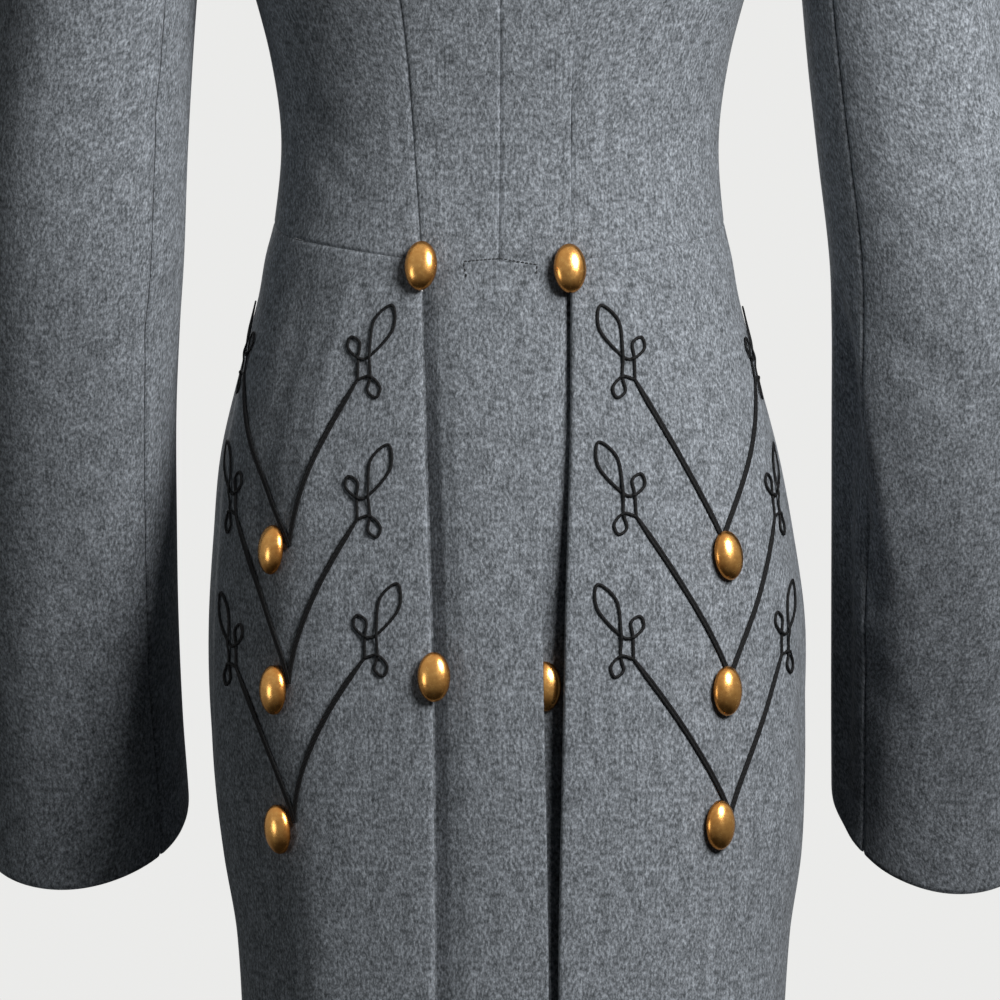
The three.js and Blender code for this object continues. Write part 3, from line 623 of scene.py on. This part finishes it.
# Fronts: two panels of the same wool, cut away at the waist and closed edge over edge, the left one
# over the right. The picture doesn't show them, so they are plain, as such coats are made.
FRONT_LAP = 7
LAP_SLOPE = 6
LAP_BREAK = 0.3
FRONT_DEGREE = 2.4
FRONT_STEPS, FRONT_ROW_STEP = (12, 16, 4, 8), 4.5
FRONT_CREASES = np.array([
    [118, -372, 150, -330, 10, -1.2],
    [112, -345, 142, -290, 9, -1.0],
    [122, -120, 150, -190, 12, -1.3],
    [-116, -370, -148, -326, 10, -1.1],
    [-112, -336, -140, -296, 8, -0.9],
    [-120, -118, -150, -184, 12, -1.2],
])


def front(side):
    """A front panel: from the side seam or armhole round to the lap, where the right one steps down."""
    laps = side > 0

    def place(u, row, depth):
        edge = side * (90 + armhole_angle(row))
        start = shift_angle(edge, row, side * SEAM / 2)
        flat = np.full_like(row, side * (180.0 - FRONT_LAP - LAP_SLOPE))
        end = np.full_like(row, side * (180.0 + FRONT_LAP))
        angle = between([
            start, edge + (flat - edge) * (TAIL_END - 90) / (np.abs(flat) - 90), flat,
            np.full_like(row, side * (180 - FRONT_LAP - LAP_BREAK)), end,
        ], u)
        sunk = np.zeros_like(row) if laps else between([0, 0, 0, LAYER, LAYER], u)
        near = 180 - np.minimum(np.abs(angle), 180)
        spread = 180 - 90 * near / (180 - np.abs(edge))
        height = creases(FRONT_CREASES, angle, row, FRONT_DEGREE)
        if depth == 0:
            mm = degree(angle, row)
            height = height - turned(np.abs(angle - start) * mm) - turned(np.abs(angle - end) * mm)
            height = height - turned(row - WAIST) - turned(SIDE_NECK - row)
        z = row + waist_bend(angle, row) + neck_bend(spread, row)
        return off(form, angle, z, height - sunk - depth)

    rows = levels([WAIST, *armhole_row(ARMHOLE_TURNS), SIDE_NECK], FRONT_ROW_STEP, fine=(WAIST, SIDE_NECK))
    columns = lines(*FRONT_STEPS, fine=(0, 4))
    return cloth("cloth_front_" + ("left" if laps else "right"), columns, rows, place)


for side, node in ((1, "front_left"), (-1, "front_right")):
    panel = dressed(front(side), WOOL, node)

# Collar: a plain stand collar of the same wool, sewn upright into the neck seam. It leans in a little
# towards its top edge, and its two ends stand a narrow gap apart at the front.
COLLAR_HEIGHT = 44
COLLAR_LEAN = 4
COLLAR_GAP = 1.6
COLLAR_DEGREE = 1.1
COLLAR_COLUMNS = 181


def collar_place(u, height, depth):
    """The stand collar: the neck seam moved in and straight up, leaning in towards its top edge."""
    seam = form(u, neckline(u))
    level = facing(form, u, neckline(u)) * [1, 1, 0]
    ends = (180 - COLLAR_GAP - np.abs(u)) * COLLAR_DEGREE
    roll = turned(COLLAR_HEIGHT - height) + turned(ends) if depth == 0 else 0
    inset = SEAM + COLLAR_LEAN * height / COLLAR_HEIGHT + depth + roll
    return seam - unit(level) * inset[..., None] + np.stack([0 * u, 0 * u, height], -1)


collar_columns = np.linspace(-180 + COLLAR_GAP, 180 - COLLAR_GAP, COLLAR_COLUMNS)
collar_rows = levels([2 * SEAM, COLLAR_HEIGHT], ROW_STEP, fine=(COLLAR_HEIGHT,))
collar = cloth("cloth_collar", collar_columns, collar_rows, collar_place, grain=0.0)
dressed(collar, WOOL, "collar")

# Tails: the side skirts, sewn to the waist seam and folded under along the back edge in deep side
# pleats. Soft folds run down them, and the front edges slope back to a round corner at the hem.
BEND = 0.9
TAIL_FRONT = "z angle".split(), np.array([
    [HEM, 84.0],
    [-773, 93],
    [-683, 102],
    [-560, 110],
    [WAIST, TAIL_END],
])
TAIL_STOPS = 62.0, 34.0
TAIL_DEGREE = 2.7
TAIL_STEPS, TAIL_ROW_STEP = (44, 30, 20, 7, 8), 3.2
CORNER_RISE, CORNER_FROM, CORNER_TO, CORNER_HEIGHT = 16, 50, 90, 80
LEVEL_BELOW = -470
FOLD_FADE = 160
FOLDS = (  # side, angle, width in degrees, height, top
    (1, 43, 9, 3.4, -420),
    (1, 72, 12, 1.8, -520),
    (-1, 47, 9, -2.0, -540),
)
TAIL_CREASES = np.array([
    [58, -470, 50, -610, 11, -0.9],
    [37, -392, 42, -560, 8, 1.2],
    [50, -400, 53, -560, 10, -1.0],
    [34, -520, 33, -760, 12, 0.7],
    [84, -430, 80, -700, 13, -1.6],
    [100, -420, 92, -660, 12, 1.4],
    [-36, -500, -37, -790, 12, -0.7],
    [-62, -560, -58, -850, 12, -1.0],
    [-84, -440, -78, -720, 13, -1.6],
    [-101, -430, -93, -640, 12, 1.2],
])


def tail_surface(side):
    """A tail's outer side: the form with its soft folds, bells across the angle that fade in at the top."""

    def surface(angle, z):
        out = creases(TAIL_CREASES, angle, z, TAIL_DEGREE)
        for fold_side, middle, width, height, top in FOLDS:
            if fold_side == side:
                near = np.exp(-((side * angle - middle) / width) ** 2)
                out = out + height * near * (1 - smooth(z, top - FOLD_FADE, top))
        return off(form, angle, z, out)

    return surface


def tail(side):
    """A tail: from its front edge round to the pleat's fold, round the fold in a half circle and back
    under itself."""
    surface = tail_surface(side)
    turn_under = WALL + BEND

    def place(u, row, depth):
        seam = seam_angle(side, row)
        inset = np.where(row > PLEAT_TOP, SEAM / 2, turn_under)
        start = shift_angle(seam, row, side * inset)
        fore = side * reading(TAIL_FRONT, "angle", row)
        wide, near = [np.full_like(row, side * stop) for stop in TAIL_STOPS]
        top = between([fore, wide, near, start], np.minimum(u, 3))
        angle = np.where(u <= 3, top, shift_angle(start, row, side * PLEAT_DEPTH * np.maximum(0, u - 4)))
        near_waist = smooth(row, LEVEL_BELOW, WAIST - SEAM)
        corner = CORNER_RISE * smooth(side * angle, CORNER_FROM, CORNER_TO)
        corner = corner * (1 - smooth(row, HEM, HEM + CORNER_HEIGHT))
        z = row + waist_rise(angle) * near_waist + corner
        out = facing(surface, angle, z)
        roll = np.zeros_like(row)
        if depth == 0:
            mm = degree(angle, z)
            roll = turned(WAIST - SEAM - row) + HEM_ROLL * turned(row - HEM)
            roll = roll + HEM_ROLL * turned(np.abs(angle - fore) * mm)
            roll = roll + np.where(row > PLEAT_TOP, turned(np.abs(angle - start) * mm), 0)
        base = surface(angle, z)
        upper = base - out * (roll + depth)[..., None]
        centre = base - out * turn_under
        radius = BEND if depth else turn_under
        back_way = unit(np.stack([-side * out[..., 1], side * out[..., 0], 0 * row], -1))
        bend = np.pi * np.clip(u - 3, 0, 1)[..., None]
        round_it = centre + out * radius * np.cos(bend) + back_way * radius * np.sin(bend)
        under = centre - out * radius
        return np.where((u <= 3)[..., None], upper, np.where((u > 4)[..., None], under, round_it))

    def keep(u, row):
        return (u < 3) | (row < PLEAT_TOP)

    rows = levels([HEM, PLEAT_TOP, WAIST - SEAM], TAIL_ROW_STEP, fine=(HEM, WAIST - SEAM))
    columns = lines(*TAIL_STEPS, fine=(0,))
    return cloth("cloth_tail_" + ("left" if side > 0 else "right"), columns, rows, place, keep)


for side, node, flat, area in ((1, "tail_left", (0.257, 0.49), 0.111),
                               (-1, "tail_right", (0.266, 0.49), 0.116)):
    panel = dressed(tail(side), WOOL, node)

# Sleeves: two pieces each, seamed along the back and the front of the arm, set into the armhole with a
# full head. They hang a little forward, and the cuffs are cut on a slant, longest behind.
SLEEVE = "z left right half_width half_depth middle_left middle_right".split(), np.array([
    [-760, 176, 190, 59, 51, -114, -168],
    [-706, 176.5, 189.5, 59.5, 53, -98, -140],
    [-650, 180, 188.5, 60.5, 55, -79, -107],
    [-594, 182, 187.8, 61, 58, -60, -74],
    [-540, 182.5, 187.3, 61.5, 61, -41, -46],
    [-480, 182.3, 186.8, 62, 64, -20, -21],
    [-430, 180, 186.5, 62.5, 67, -6, -6],
    [-392, 177.5, 185, 62.5, 69, 1, 1],
    [-336, 175.5, 178.5, 62, 71, 3, 3],
    [-280, 172.5, 172.5, 60, 72, 2, 2],
    [-215, 168, 167, 57, 72, 0, 0],
])
CAP_START = -215
CAP_SPAN = 160
CAP_LEAD = 10.0  # the head leaves the tube in the direction of the tube's last stretch, this long
CUFFS = {1: (-708, 42, 13), -1: (-705, 49, 13)}
CUFF_START = -620
ARM_SEAM = -45
ARM_SEAM_GAP = 0.25
ARMHOLE_GAP = 0.5
ARMHOLE_DEGREE = 2.7
ARM_DEGREE, EDGE_DEGREE = 1.15, 1.1
CUFF_ROLL = 0.8
HEAD_IN, HEAD_DOWN = 0.98, 0.12
LAST_STEP = 0.6
ARM_COLUMN = 3  # degrees from column to column
SLEEVE_CREASES = {
    1: np.array([
        [-60, -300, 20, -356, 11, -1.4],
        [-70, -420, 10, -470, 12, -1.6],
        [-30, -455, 60, -520, 12, -1.4],
        [100, -470, 160, -430, 11, -2.2],
        [110, -510, 170, -480, 10, -1.8],
        [-10, -560, 5, -690, 16, -1.0],
        [30, -250, 60, -330, 14, -1.2],
        [-75, -600, -30, -640, 10, -1.0],
    ]),
    -1: np.array([
        [-20, -340, 60, -290, 12, -1.5],
        [-68, -404, -64, -716, 13, -8.0],
        [-64, -424, -38, -600, 11, -5.5],
        [-40, -580, -46, -716, 13, -3.0],
        [-58, -408, -22, -585, 9, 2.0],
        [-40, -430, 30, -486, 12, -1.6],
        [100, -474, 165, -436, 11, -2.2],
        [112, -516, 168, -486, 10, -1.7],
        [0, -560, 12, -690, 16, -1.0],
        [50, -240, 70, -330, 14, -1.2],
        [-60, -610, -10, -650, 10, -1.0],
    ]),
}


def sleeve_surface(side):
    """A sleeve: level ovals down the arm with rows that tilt into the slanted cuff, and above them a head
    that bends on a cubic curve from the tube's top to the armhole."""
    middle, dip, turned_by = CUFFS[side]

    def tube(turn, z):
        half_width = reading(SLEEVE, "half_width", z)
        x, y = oval(turn, half_width, reading(SLEEVE, "half_depth", z))
        word = "left" if side > 0 else "right"
        middle_x = reading(SLEEVE, word, z) + half_width
        return np.stack([side * (middle_x + x), y + reading(SLEEVE, "middle_" + word, z), z], -1)

    def surface(turn, row):
        turn, row = np.broadcast_arrays(np.asarray(turn, float), np.asarray(row, float))
        hem = middle - dip * np.cos(np.radians(turn - turned_by))
        down = np.maximum(0, (CUFF_START - row) / (CUFF_START - middle))
        z = np.where(row > CUFF_START, row, CUFF_START + (hem - CUFF_START) * down)
        below = tube(turn, np.minimum(z, CAP_START))
        s = (np.maximum(row, CAP_START) - CAP_START)[..., None] / CAP_SPAN
        start = tube(turn, np.full_like(row, CAP_START))
        start_below = tube(turn, np.full_like(row, CAP_START - CAP_LEAD))
        end = form(*armhole_place(side, turn))
        chord = end - start
        length = np.linalg.norm(chord, axis=-1, keepdims=True)
        rise = unit(start - start_below) * length
        leave = np.array([-HEAD_IN * side, 0, -HEAD_DOWN]) * length
        head = start + chord * s * s * (3 - 2 * s) + rise * s * (1 - s) ** 2 + leave * s * s * (s - 1)
        return np.where((row <= CAP_START)[..., None], below, head)

    return surface


def armhole_place(side, turn):
    """Angle and height of a point just inside the armhole's edge."""
    angle = (ARMHOLE_HALF_ANGLE - ARMHOLE_GAP / ARMHOLE_DEGREE) * np.cos(np.radians(turn))
    rise = (ARMHOLE_HALF_HEIGHT - ARMHOLE_GAP) * np.sin(np.radians(turn))
    return side * (90 - angle), ARMHOLE_MIDDLE + rise


def sleeve(side, part, start, end):
    """One piece of a sleeve, from turn to turn round the arm, its last row laid on the armhole."""
    surface = sleeve_surface(side)
    last = CAP_START + CAP_SPAN

    def place(turn, row, depth):
        wrapped = (turn + 180) % 360 - 180
        height = creases(SLEEVE_CREASES[side], wrapped, row, ARM_DEGREE)
        if depth == 0:
            height = height - turned(np.abs(turn - start) * EDGE_DEGREE)
            height = height - turned(np.abs(turn - end) * EDGE_DEGREE)
            height = height - CUFF_ROLL * turned(row - CUFFS[side][0]) - turned(last - row)
        tube = off(surface, turn, np.minimum(row, last - LAST_STEP), side * (height - depth))
        inward = np.full_like(row, depth if depth else ROLL_DEPTH)
        edge = off(form, *armhole_place(side, turn), -inward)
        return np.where((row >= last)[..., None], edge, tube)

    rows = levels([CUFFS[side][0], CUFF_START, CAP_START, last], ROW_STEP, fine=(CUFFS[side][0], last))
    rows = rows[(rows <= last - 1) | (rows == last)]
    count = int((end - start) / ARM_COLUMN)
    columns = start + (end - start) * lines(count)
    ends = np.array([0.4, 1.0, 1.9])
    columns = np.unique(np.concatenate([columns, start + ends, end - ends]))
    name = f"cloth_sleeve_{part}_" + ("left" if side > 0 else "right")
    return cloth(name, columns, rows, place)


for side, word in ((1, "left"), (-1, "right")):
    front_seam = 180 - ARM_SEAM
    for part, start, end, flat, area in (
        ("upper", ARM_SEAM, front_seam, (0.341, 0.73), 0.198),
        ("under", front_seam, 360 + ARM_SEAM, (0.113, 0.61), 0.0545),
    ):
        panel = sleeve(side, part, start + ARM_SEAM_GAP, end - ARM_SEAM_GAP)
        dressed(panel, WOOL, f"sleeve_{part}_{word}")

# Braid: narrow black woven cord sewn flat in chevrons on the tails. One cord goes up an arm, makes a
# knot of three loops that lie over themselves, and comes back down close beside itself.
CORD_WIDTH = 1.7
CORD_THICKNESS = 1.1
CORD_LIFT = 0.85
CORD_APART = 0.42  # half the way between a doubled cord's middles, in cord widths
CORD_SIDES, ARM_STEPS, LOOP_STEPS = 10, 90, 16
CORD_CLOSING = 8  # the doubled cord comes together over the last eighth of its arm, below the knot
CROSSING_RISE, CROSSING_SPAN = 1.0, 0.28
OUTER_ARM_LIFT = 0.12
# Each arm runs to its knot in degrees and height. A curve of 1 is straight, and more starts it steeper.
CHEVRONS = (  # side, row, angle, foot, inner angle, height and curve, outer angle, height and curve
    (1, 1, 43.8, -555, 31, -462, 1.5, 73, -459, 1.15),
    (1, 2, 43.4, -631, 29, -539.5, 1.5, 64, -537, 1.3),
    (1, 3, 44, -708, 27.4, -616.5, 1.5, 61, -622, 1.35),
    (-1, 1, 46, -551, 30, -462, 1.05, 74, -462, 1.15),
    (-1, 2, 45.6, -628, 26.5, -538, 1.05, 66.5, -538, 1.2),
    (-1, 3, 45.8, -704, 24, -617, 1.1, 63, -615, 1.15),
)
# The grooves' colour is painted shade: the braid is coloured darker where its ribs' relief is low.
BRAID_GROOVE_PAINTED_SHADE = (0.0015, 0.0016, 0.0018, 1.0)
BRAID_RIB = (0.006, 0.0065, 0.0075, 1.0)
RIB_SCALE = (220.0, 220.0, 1.0)
LOOP_POINTS = 5
LOOP_WIDEST = 0.6  # share of the way from a loop's crossing to its tip
KNOT = (  # crossing across and up, tip across and up, half width
    (0.2, 12, -4.2, 23.6, 3.8),
    (7, 13, 19.4, 41.2, 5.9),
    (7.3, 1.6, 10.6, -10, 3.7),
)


def braid_finish():
    """Black braid: slanting ribs along the cord's own length, with painted shade that makes the grooves
    between them darker than the ribs' tops.
    """
    finish = Finish("black_braid")
    length = finish.add("ShaderNodeTexCoord", {}, {}, "UV")
    scaled = finish.add("ShaderNodeMapping", {}, {"Vector": length, "Scale": RIB_SCALE})
    ribs = finish.add("ShaderNodeTexWave", {"bands_direction": "DIAGONAL"},
                      {"Vector": scaled, "Scale": 1.0, "Distortion": 0.6})
    # Painted shade: the ribs' wave sets the colour as well as the relief, darkest in the grooves.
    colour = finish.add("ShaderNodeMix", {"data_type": "RGBA"},
                        {0: ribs, 6: BRAID_GROOVE_PAINTED_SHADE, 7: BRAID_RIB}, 2)
    relief = finish.add("ShaderNodeBump", {}, {"Strength": 0.5, "Distance": 0.0003, "Height": ribs})
    finish.to(Base_Color=colour, Normal=relief, Roughness=0.75, Specular_IOR_Level=0.25)
    return finish.material


BRAID = braid_finish()


def through(points, samples):
    """A smooth curve through points: Catmull-Rom pieces, sampled evenly in every piece."""
    points = np.asarray(points, float)
    ends = np.concatenate([2 * points[:1] - points[1:2], points, 2 * points[-1:] - points[-2:-1]])
    t = np.linspace(0, 1, samples, endpoint=False)[:, None]
    pieces = []
    for i in range(len(points) - 1):
        a, b, c, d = ends[i:i + 4]
        pieces.append(0.5 * (2 * b + (c - a) * t + (2 * a - 5 * b + 4 * c - d) * t ** 2
                             + (3 * b - a - 3 * c + d) * t ** 3))
    return np.concatenate([*pieces, points[-1:]])


def knot_path():
    """The knot's cord: through each loop's crossing, round its tip and back, higher where it comes back.
    Gives points (away from the chevron, up, rise)."""
    points = [(0.0, 0.0)]
    for cross_x, cross_z, tip_x, tip_z, half_width in KNOT:
        cross, tip = np.array([cross_x, cross_z]), np.array([tip_x, tip_z])
        axis = (tip - cross) / np.linalg.norm(tip - cross)
        aside = np.array([axis[1], -axis[0]]) * half_width
        middle = cross + (tip - cross) * LOOP_WIDEST
        points += [cross, middle + aside, tip, middle - aside, cross]
    curve = through([*points, (0.0, 0.0)], LOOP_STEPS)
    place = np.arange(len(curve)) / LOOP_STEPS
    crossings = np.arange(1, len(KNOT) + 1) * LOOP_POINTS
    back_again = np.abs(place - crossings[:, None]).min(axis=0)
    rise = CROSSING_RISE * np.exp(-(back_again / CROSSING_SPAN) ** 2)
    return np.column_stack([curve, rise])


def tube_faces(rings, sides):
    """Point numbers of a tube, ring by ring, the same numbers one side on, and its faces."""
    index = np.arange(rings * sides).reshape(rings, sides)
    nearby = np.roll(index, -1, axis=1)
    return index, nearby, np.stack([index[:-1], nearby[:-1], nearby[1:], index[1:]], -1).reshape(-1, 4)


def cord_along(surface, angle, z, rise, side_step):
    """A cord along places on a surface, moved sideways by side_step: a flat ellipse at each place."""
    feet = surface(angle, z)
    out = facing(surface, angle, z)
    along = np.gradient(feet, axis=0)
    across = unit(np.cross(along, out))
    middle = feet + across * np.asarray(side_step)[..., None] + out * (CORD_LIFT + rise)[:, None]
    ring = np.linspace(0, 2 * np.pi, CORD_SIDES + 1)[:-1]
    wide, high = np.cos(ring) * CORD_WIDTH / 2, np.sin(ring) * CORD_THICKNESS / 2
    points = middle[:, None] + across[:, None] * wide[:, None] + out[:, None] * high[:, None]
    faces = tube_faces(*points.shape[:2])[2]
    length = np.concatenate([[0], np.cumsum(np.linalg.norm(np.diff(middle, axis=0), axis=1))])
    uv = np.stack(np.broadcast_arrays(ring * CORD_WIDTH / 2, length[:, None]), -1)
    return points.reshape(-1, 3), faces, uv.reshape(-1, 2)


def chevron(side, row, angle, foot, inner_angle, inner_z, inner_curve, outer_angle, outer_z, outer_curve):
    """A chevron: for each arm a cord up beside the arm's middle line, round the knot and down again."""
    surface = tail_surface(side)
    cords = []
    for to_angle, to_z, curve, way in ((inner_angle, inner_z, inner_curve, -1),
                                       (outer_angle, outer_z, outer_curve, 1)):
        t = np.linspace(0, 1, ARM_STEPS)
        arm_angle = side * (angle + (to_angle - angle) * t ** curve)
        arm_z = foot + (to_z - foot) * t
        away, up, rise = knot_path().T
        knot_z = to_z + up
        half = np.full_like(knot_z, side * to_angle / 2)
        above = side * to_angle * degree(half, np.full_like(knot_z, to_z)) / degree(half, knot_z)
        knot_angle = shift_angle(above, knot_z, side * way * away)
        all_angle = np.concatenate([arm_angle, knot_angle[1:-1], arm_angle[::-1]])
        all_z = np.concatenate([arm_z, knot_z[1:-1], arm_z[::-1]])
        apart = CORD_WIDTH * CORD_APART * np.clip((1 - t) * CORD_CLOSING, 0, 1)
        step = np.concatenate([apart, 0 * rise[1:-1], apart[::-1]]) * way * side
        lift = np.concatenate([0 * t, rise[1:-1], 0 * t])
        if way > 0:
            lift = lift + OUTER_ARM_LIFT
        cords.append(cord_along(surface, all_angle, all_z, lift, step))
    points = np.concatenate([cord[0] for cord in cords]) * 0.001
    faces = np.concatenate([cords[0][1], cords[1][1] + len(cords[0][0])])
    uv = np.concatenate([cord[2] for cord in cords]) * 0.001
    name = f"braid_{'left' if side > 0 else 'right'}_{row}"
    dressed(sewn_piece("cord_" + name, points, faces.tolist(), uv), BRAID, name)


for row_of_sizes in CHEVRONS:
    chevron(*row_of_sizes)

# Buttons: high domes of gilt brass, closed over a back plate with a shank, standing on the cloth over
# the pleats, at the foot of each chevron and down the front closing.
BUTTON_HALF_WIDTH, BUTTON_HALF_HEIGHT, BUTTON_CLEAR = 9.2, 13.9, 0.7
RIM, DOME, BUTTON_SIDES, DOME_RINGS = 2.1, 6.7, 56, 22
# The rim's colour is painted shade: the gilt runs from it at the foot up to the dome's gold at the crown,
# so the domes darken towards their rims by colour alone.
GILT_RIM_PAINTED_SHADE = (0.56, 0.18, 0.028, 1.0)
GILT_DOME = (1.0, 0.54, 0.165, 1.0)
FRONT_BUTTONS = -96, -372, 8  # height of the highest and of the lowest, and how many
BACK_BUTTONS = (  # name, side, x, z, lift
    ("hip_button_left", 1, 43.5, -399, 0),
    ("hip_button_right", -1, 38.4, -400.5, 0),
    ("pleat_button_left", 1, 36.4, -627, -0.8),
    ("pleat_button_right", -1, 25.6, -632, -14.8),
    ("skirt_button_left_1", 1, 123.6, -557, 0),
    ("skirt_button_left_2", 1, 122.2, -634.5, 0),
    ("skirt_button_left_3", 1, 119.7, -711.5, 0),
    ("skirt_button_right_1", -1, 125.3, -560, 0),
    ("skirt_button_right_2", -1, 125.3, -635, 0),
    ("skirt_button_right_3", -1, 121.6, -709.5, 0),
)


def gilt_finish():
    """Gilt brass with a soft polish: fine unevenness in gloss and colour, and painted shade that darkens it
    from the crown down to the rim.
    """
    finish = Finish("gilt_brass")
    place = finish.add("ShaderNodeTexCoord", {}, {}, "Object")
    surface = finish.add("ShaderNodeTexCoord", {}, {}, "UV")
    rise = finish.add("ShaderNodeSeparateXYZ", {}, {0: surface}, 1)
    cloudy = finish.add("ShaderNodeTexNoise", {}, {"Vector": place, "Scale": 420.0, "Detail": 4.0})
    fine = finish.add("ShaderNodeTexNoise", {}, {"Vector": place, "Scale": 3000.0, "Detail": 2.0})
    # Painted shade: the colour darkens with the share of the height from the crown's gold down to the rim's
    # dark, over a random cloudiness of the gilt.
    colour = finish.add("ShaderNodeMix", {"data_type": "RGBA"},
                        {0: (cloudy - 0.5) * 0.9 + rise * 0.85, 6: GILT_RIM_PAINTED_SHADE, 7: GILT_DOME}, 2)
    relief = finish.add("ShaderNodeBump", {},
                        {"Strength": 0.12, "Distance": 0.0002, "Height": cloudy + fine})
    finish.to(Base_Color=colour, Roughness=cloudy * 0.18 + 0.16, Normal=relief, Metallic=1.0)
    return finish.material


GILT = gilt_finish()
BUTTON_RING = np.linspace(0, np.pi / 2, DOME_RINGS)
BUTTON_RADIUS = np.concatenate([[0, 0.28, 0.28, 0.3, 0.9, 0.955, 0.965, 0.985, 1.0],
                                np.cos(BUTTON_RING)[:-1], [0]])
BUTTON_RISE = np.concatenate([[0, 0, 1.15, 1.2, 1.2, 1.3, 1.75, 1.85, 1.95],
                              RIM + DOME * np.sin(BUTTON_RING)[:-1], [RIM + DOME]])


def button(name, surface, across, up, lift):
    """A button: the profile of radius and height carried round an upright oval, set square to the cloth,
    with a point at the foot and one at the crown. Its UV map is the share of the height."""
    across, up = np.array(float(across)), np.array(float(up))
    out = facing(surface, across, up)
    rise = unit(surface(across, up + 1) - surface(across, up - 1))
    level = unit(np.cross(rise, out))
    rise = np.cross(out, level)
    around = np.linspace(0, 2 * np.pi, BUTTON_SIDES + 1)[:-1]
    wide = np.cos(around) * BUTTON_HALF_WIDTH * BUTTON_RADIUS[1:-1, None]
    tall = np.sin(around) * BUTTON_HALF_HEIGHT * BUTTON_RADIUS[1:-1, None]
    high = np.broadcast_to(BUTTON_RISE[1:-1, None], wide.shape)
    middle = surface(across, up) + out * (BUTTON_CLEAR + lift)
    points = middle + level * wide[..., None] + rise * tall[..., None] + out * high[..., None]
    index, nearby, faces = tube_faces(*wide.shape)
    foot, crown = index.size, index.size + 1
    under = np.stack([nearby[0], index[0], np.full(BUTTON_SIDES, foot)], -1)
    over = np.stack([index[-1], nearby[-1], np.full(BUTTON_SIDES, crown)], -1)
    points = np.concatenate([points.reshape(-1, 3), [middle, middle + out * BUTTON_RISE[-1]]]) * 0.001
    share = np.concatenate([(high / (RIM + DOME)).ravel(), [0.0, 1.0]])
    faces = faces.tolist() + under.tolist() + over.tolist()
    piece = sewn_piece("gilt_" + name, points, faces, np.stack([share, share], -1))
    dressed(piece, GILT, name)


for name, side, x, z, lift in BACK_BUTTONS:
    button(name, tail_surface(side), angle_at(side * x, z), z, lift)
for number, height in enumerate(np.linspace(*FRONT_BUTTONS), 1):
    button(f"front_button_{number}", form, 180.0, height, 0)

# Stitching: short dark threads that hold the two skirts together, sewn through both in a line across
# the top of the vent and down in a slanted bar at each end.
STITCHES = (  # from x, z to x, z
    (20.2, -396.4, 0.3, -394.7),
    (0.3, -394.7, -20.7, -398.2),
    (20.2, -396.8, 18.5, -405.4),
    (-20.7, -398.4, -20.2, -403.6),
)
STITCH_LENGTH = 2.2
STITCH_HALF_LENGTH, STITCH_HALF_WIDTH, STITCH_HALF_HEIGHT, STITCH_LIFT = 0.95, 0.45, 0.22, 0.1
STITCH_RINGS, STITCH_SIDES = 7, 8
THREAD_DARK = (0.012, 0.013, 0.015, 1.0)
THREAD_PALE = (0.05, 0.054, 0.058, 1.0)


def stitch_line(ax, az, bx, bz):
    """A row of stitches: short stretched balls laid end to end along a line on the back."""
    count = int(math.hypot(bx - ax, bz - az) / STITCH_LENGTH)
    theta = np.linspace(0, np.pi, STITCH_RINGS)[:, None]
    phi = np.linspace(0, 2 * np.pi, STITCH_SIDES + 1)[:-1]
    ball = np.stack(np.broadcast_arrays(np.cos(theta) * STITCH_HALF_LENGTH,
                                        np.sin(theta) * np.cos(phi) * STITCH_HALF_WIDTH,
                                        np.sin(theta) * np.sin(phi) * STITCH_HALF_HEIGHT), -1)
    t = (np.arange(count) + 0.5) / count
    x, z = ax + (bx - ax) * t, az + (bz - az) * t
    angle = angle_at(x, z)
    out = facing(form, angle, z)
    middle = form(angle, z) + out * STITCH_LIFT
    along = unit(np.gradient(form(angle, z), axis=0))
    across = np.cross(out, along)
    frame_of_ball = np.stack([along, across, out], 1)
    points = middle[:, None, None] + np.einsum("rsk,nkx->nrsx", ball, frame_of_ball)
    index, nearby, one = tube_faces(*ball.shape[:2])
    faces = (one[None] + np.arange(count)[:, None, None] * index.size).reshape(-1, 4)
    return points.reshape(-1, 3), faces


thread = Finish("dark_thread")
thread_place = thread.add("ShaderNodeTexCoord", {}, {}, "Object")
twist = thread.add("ShaderNodeTexNoise", {}, {"Vector": thread_place, "Scale": 3500.0})
thread_colour = thread.add("ShaderNodeMix", {"data_type": "RGBA"},
                           {0: twist, 6: THREAD_DARK, 7: THREAD_PALE}, 2)
thread.to(Base_Color=thread_colour, Roughness=0.8)
stitch_points, stitch_faces, stitch_count = [], [], 0
for stitch in STITCHES:
    row_points, row_faces = stitch_line(*stitch)
    stitch_points.append(row_points)
    stitch_faces.append(row_faces + stitch_count)
    stitch_count += len(row_points)
stitch_points, stitch_faces = np.concatenate(stitch_points) * 0.001, np.concatenate(stitch_faces)
stitching = sewn_piece("vent_stitching", stitch_points, stitch_faces.tolist(), stitch_points[:, [0, 2]])
stitching.data.materials.append(thread.material)
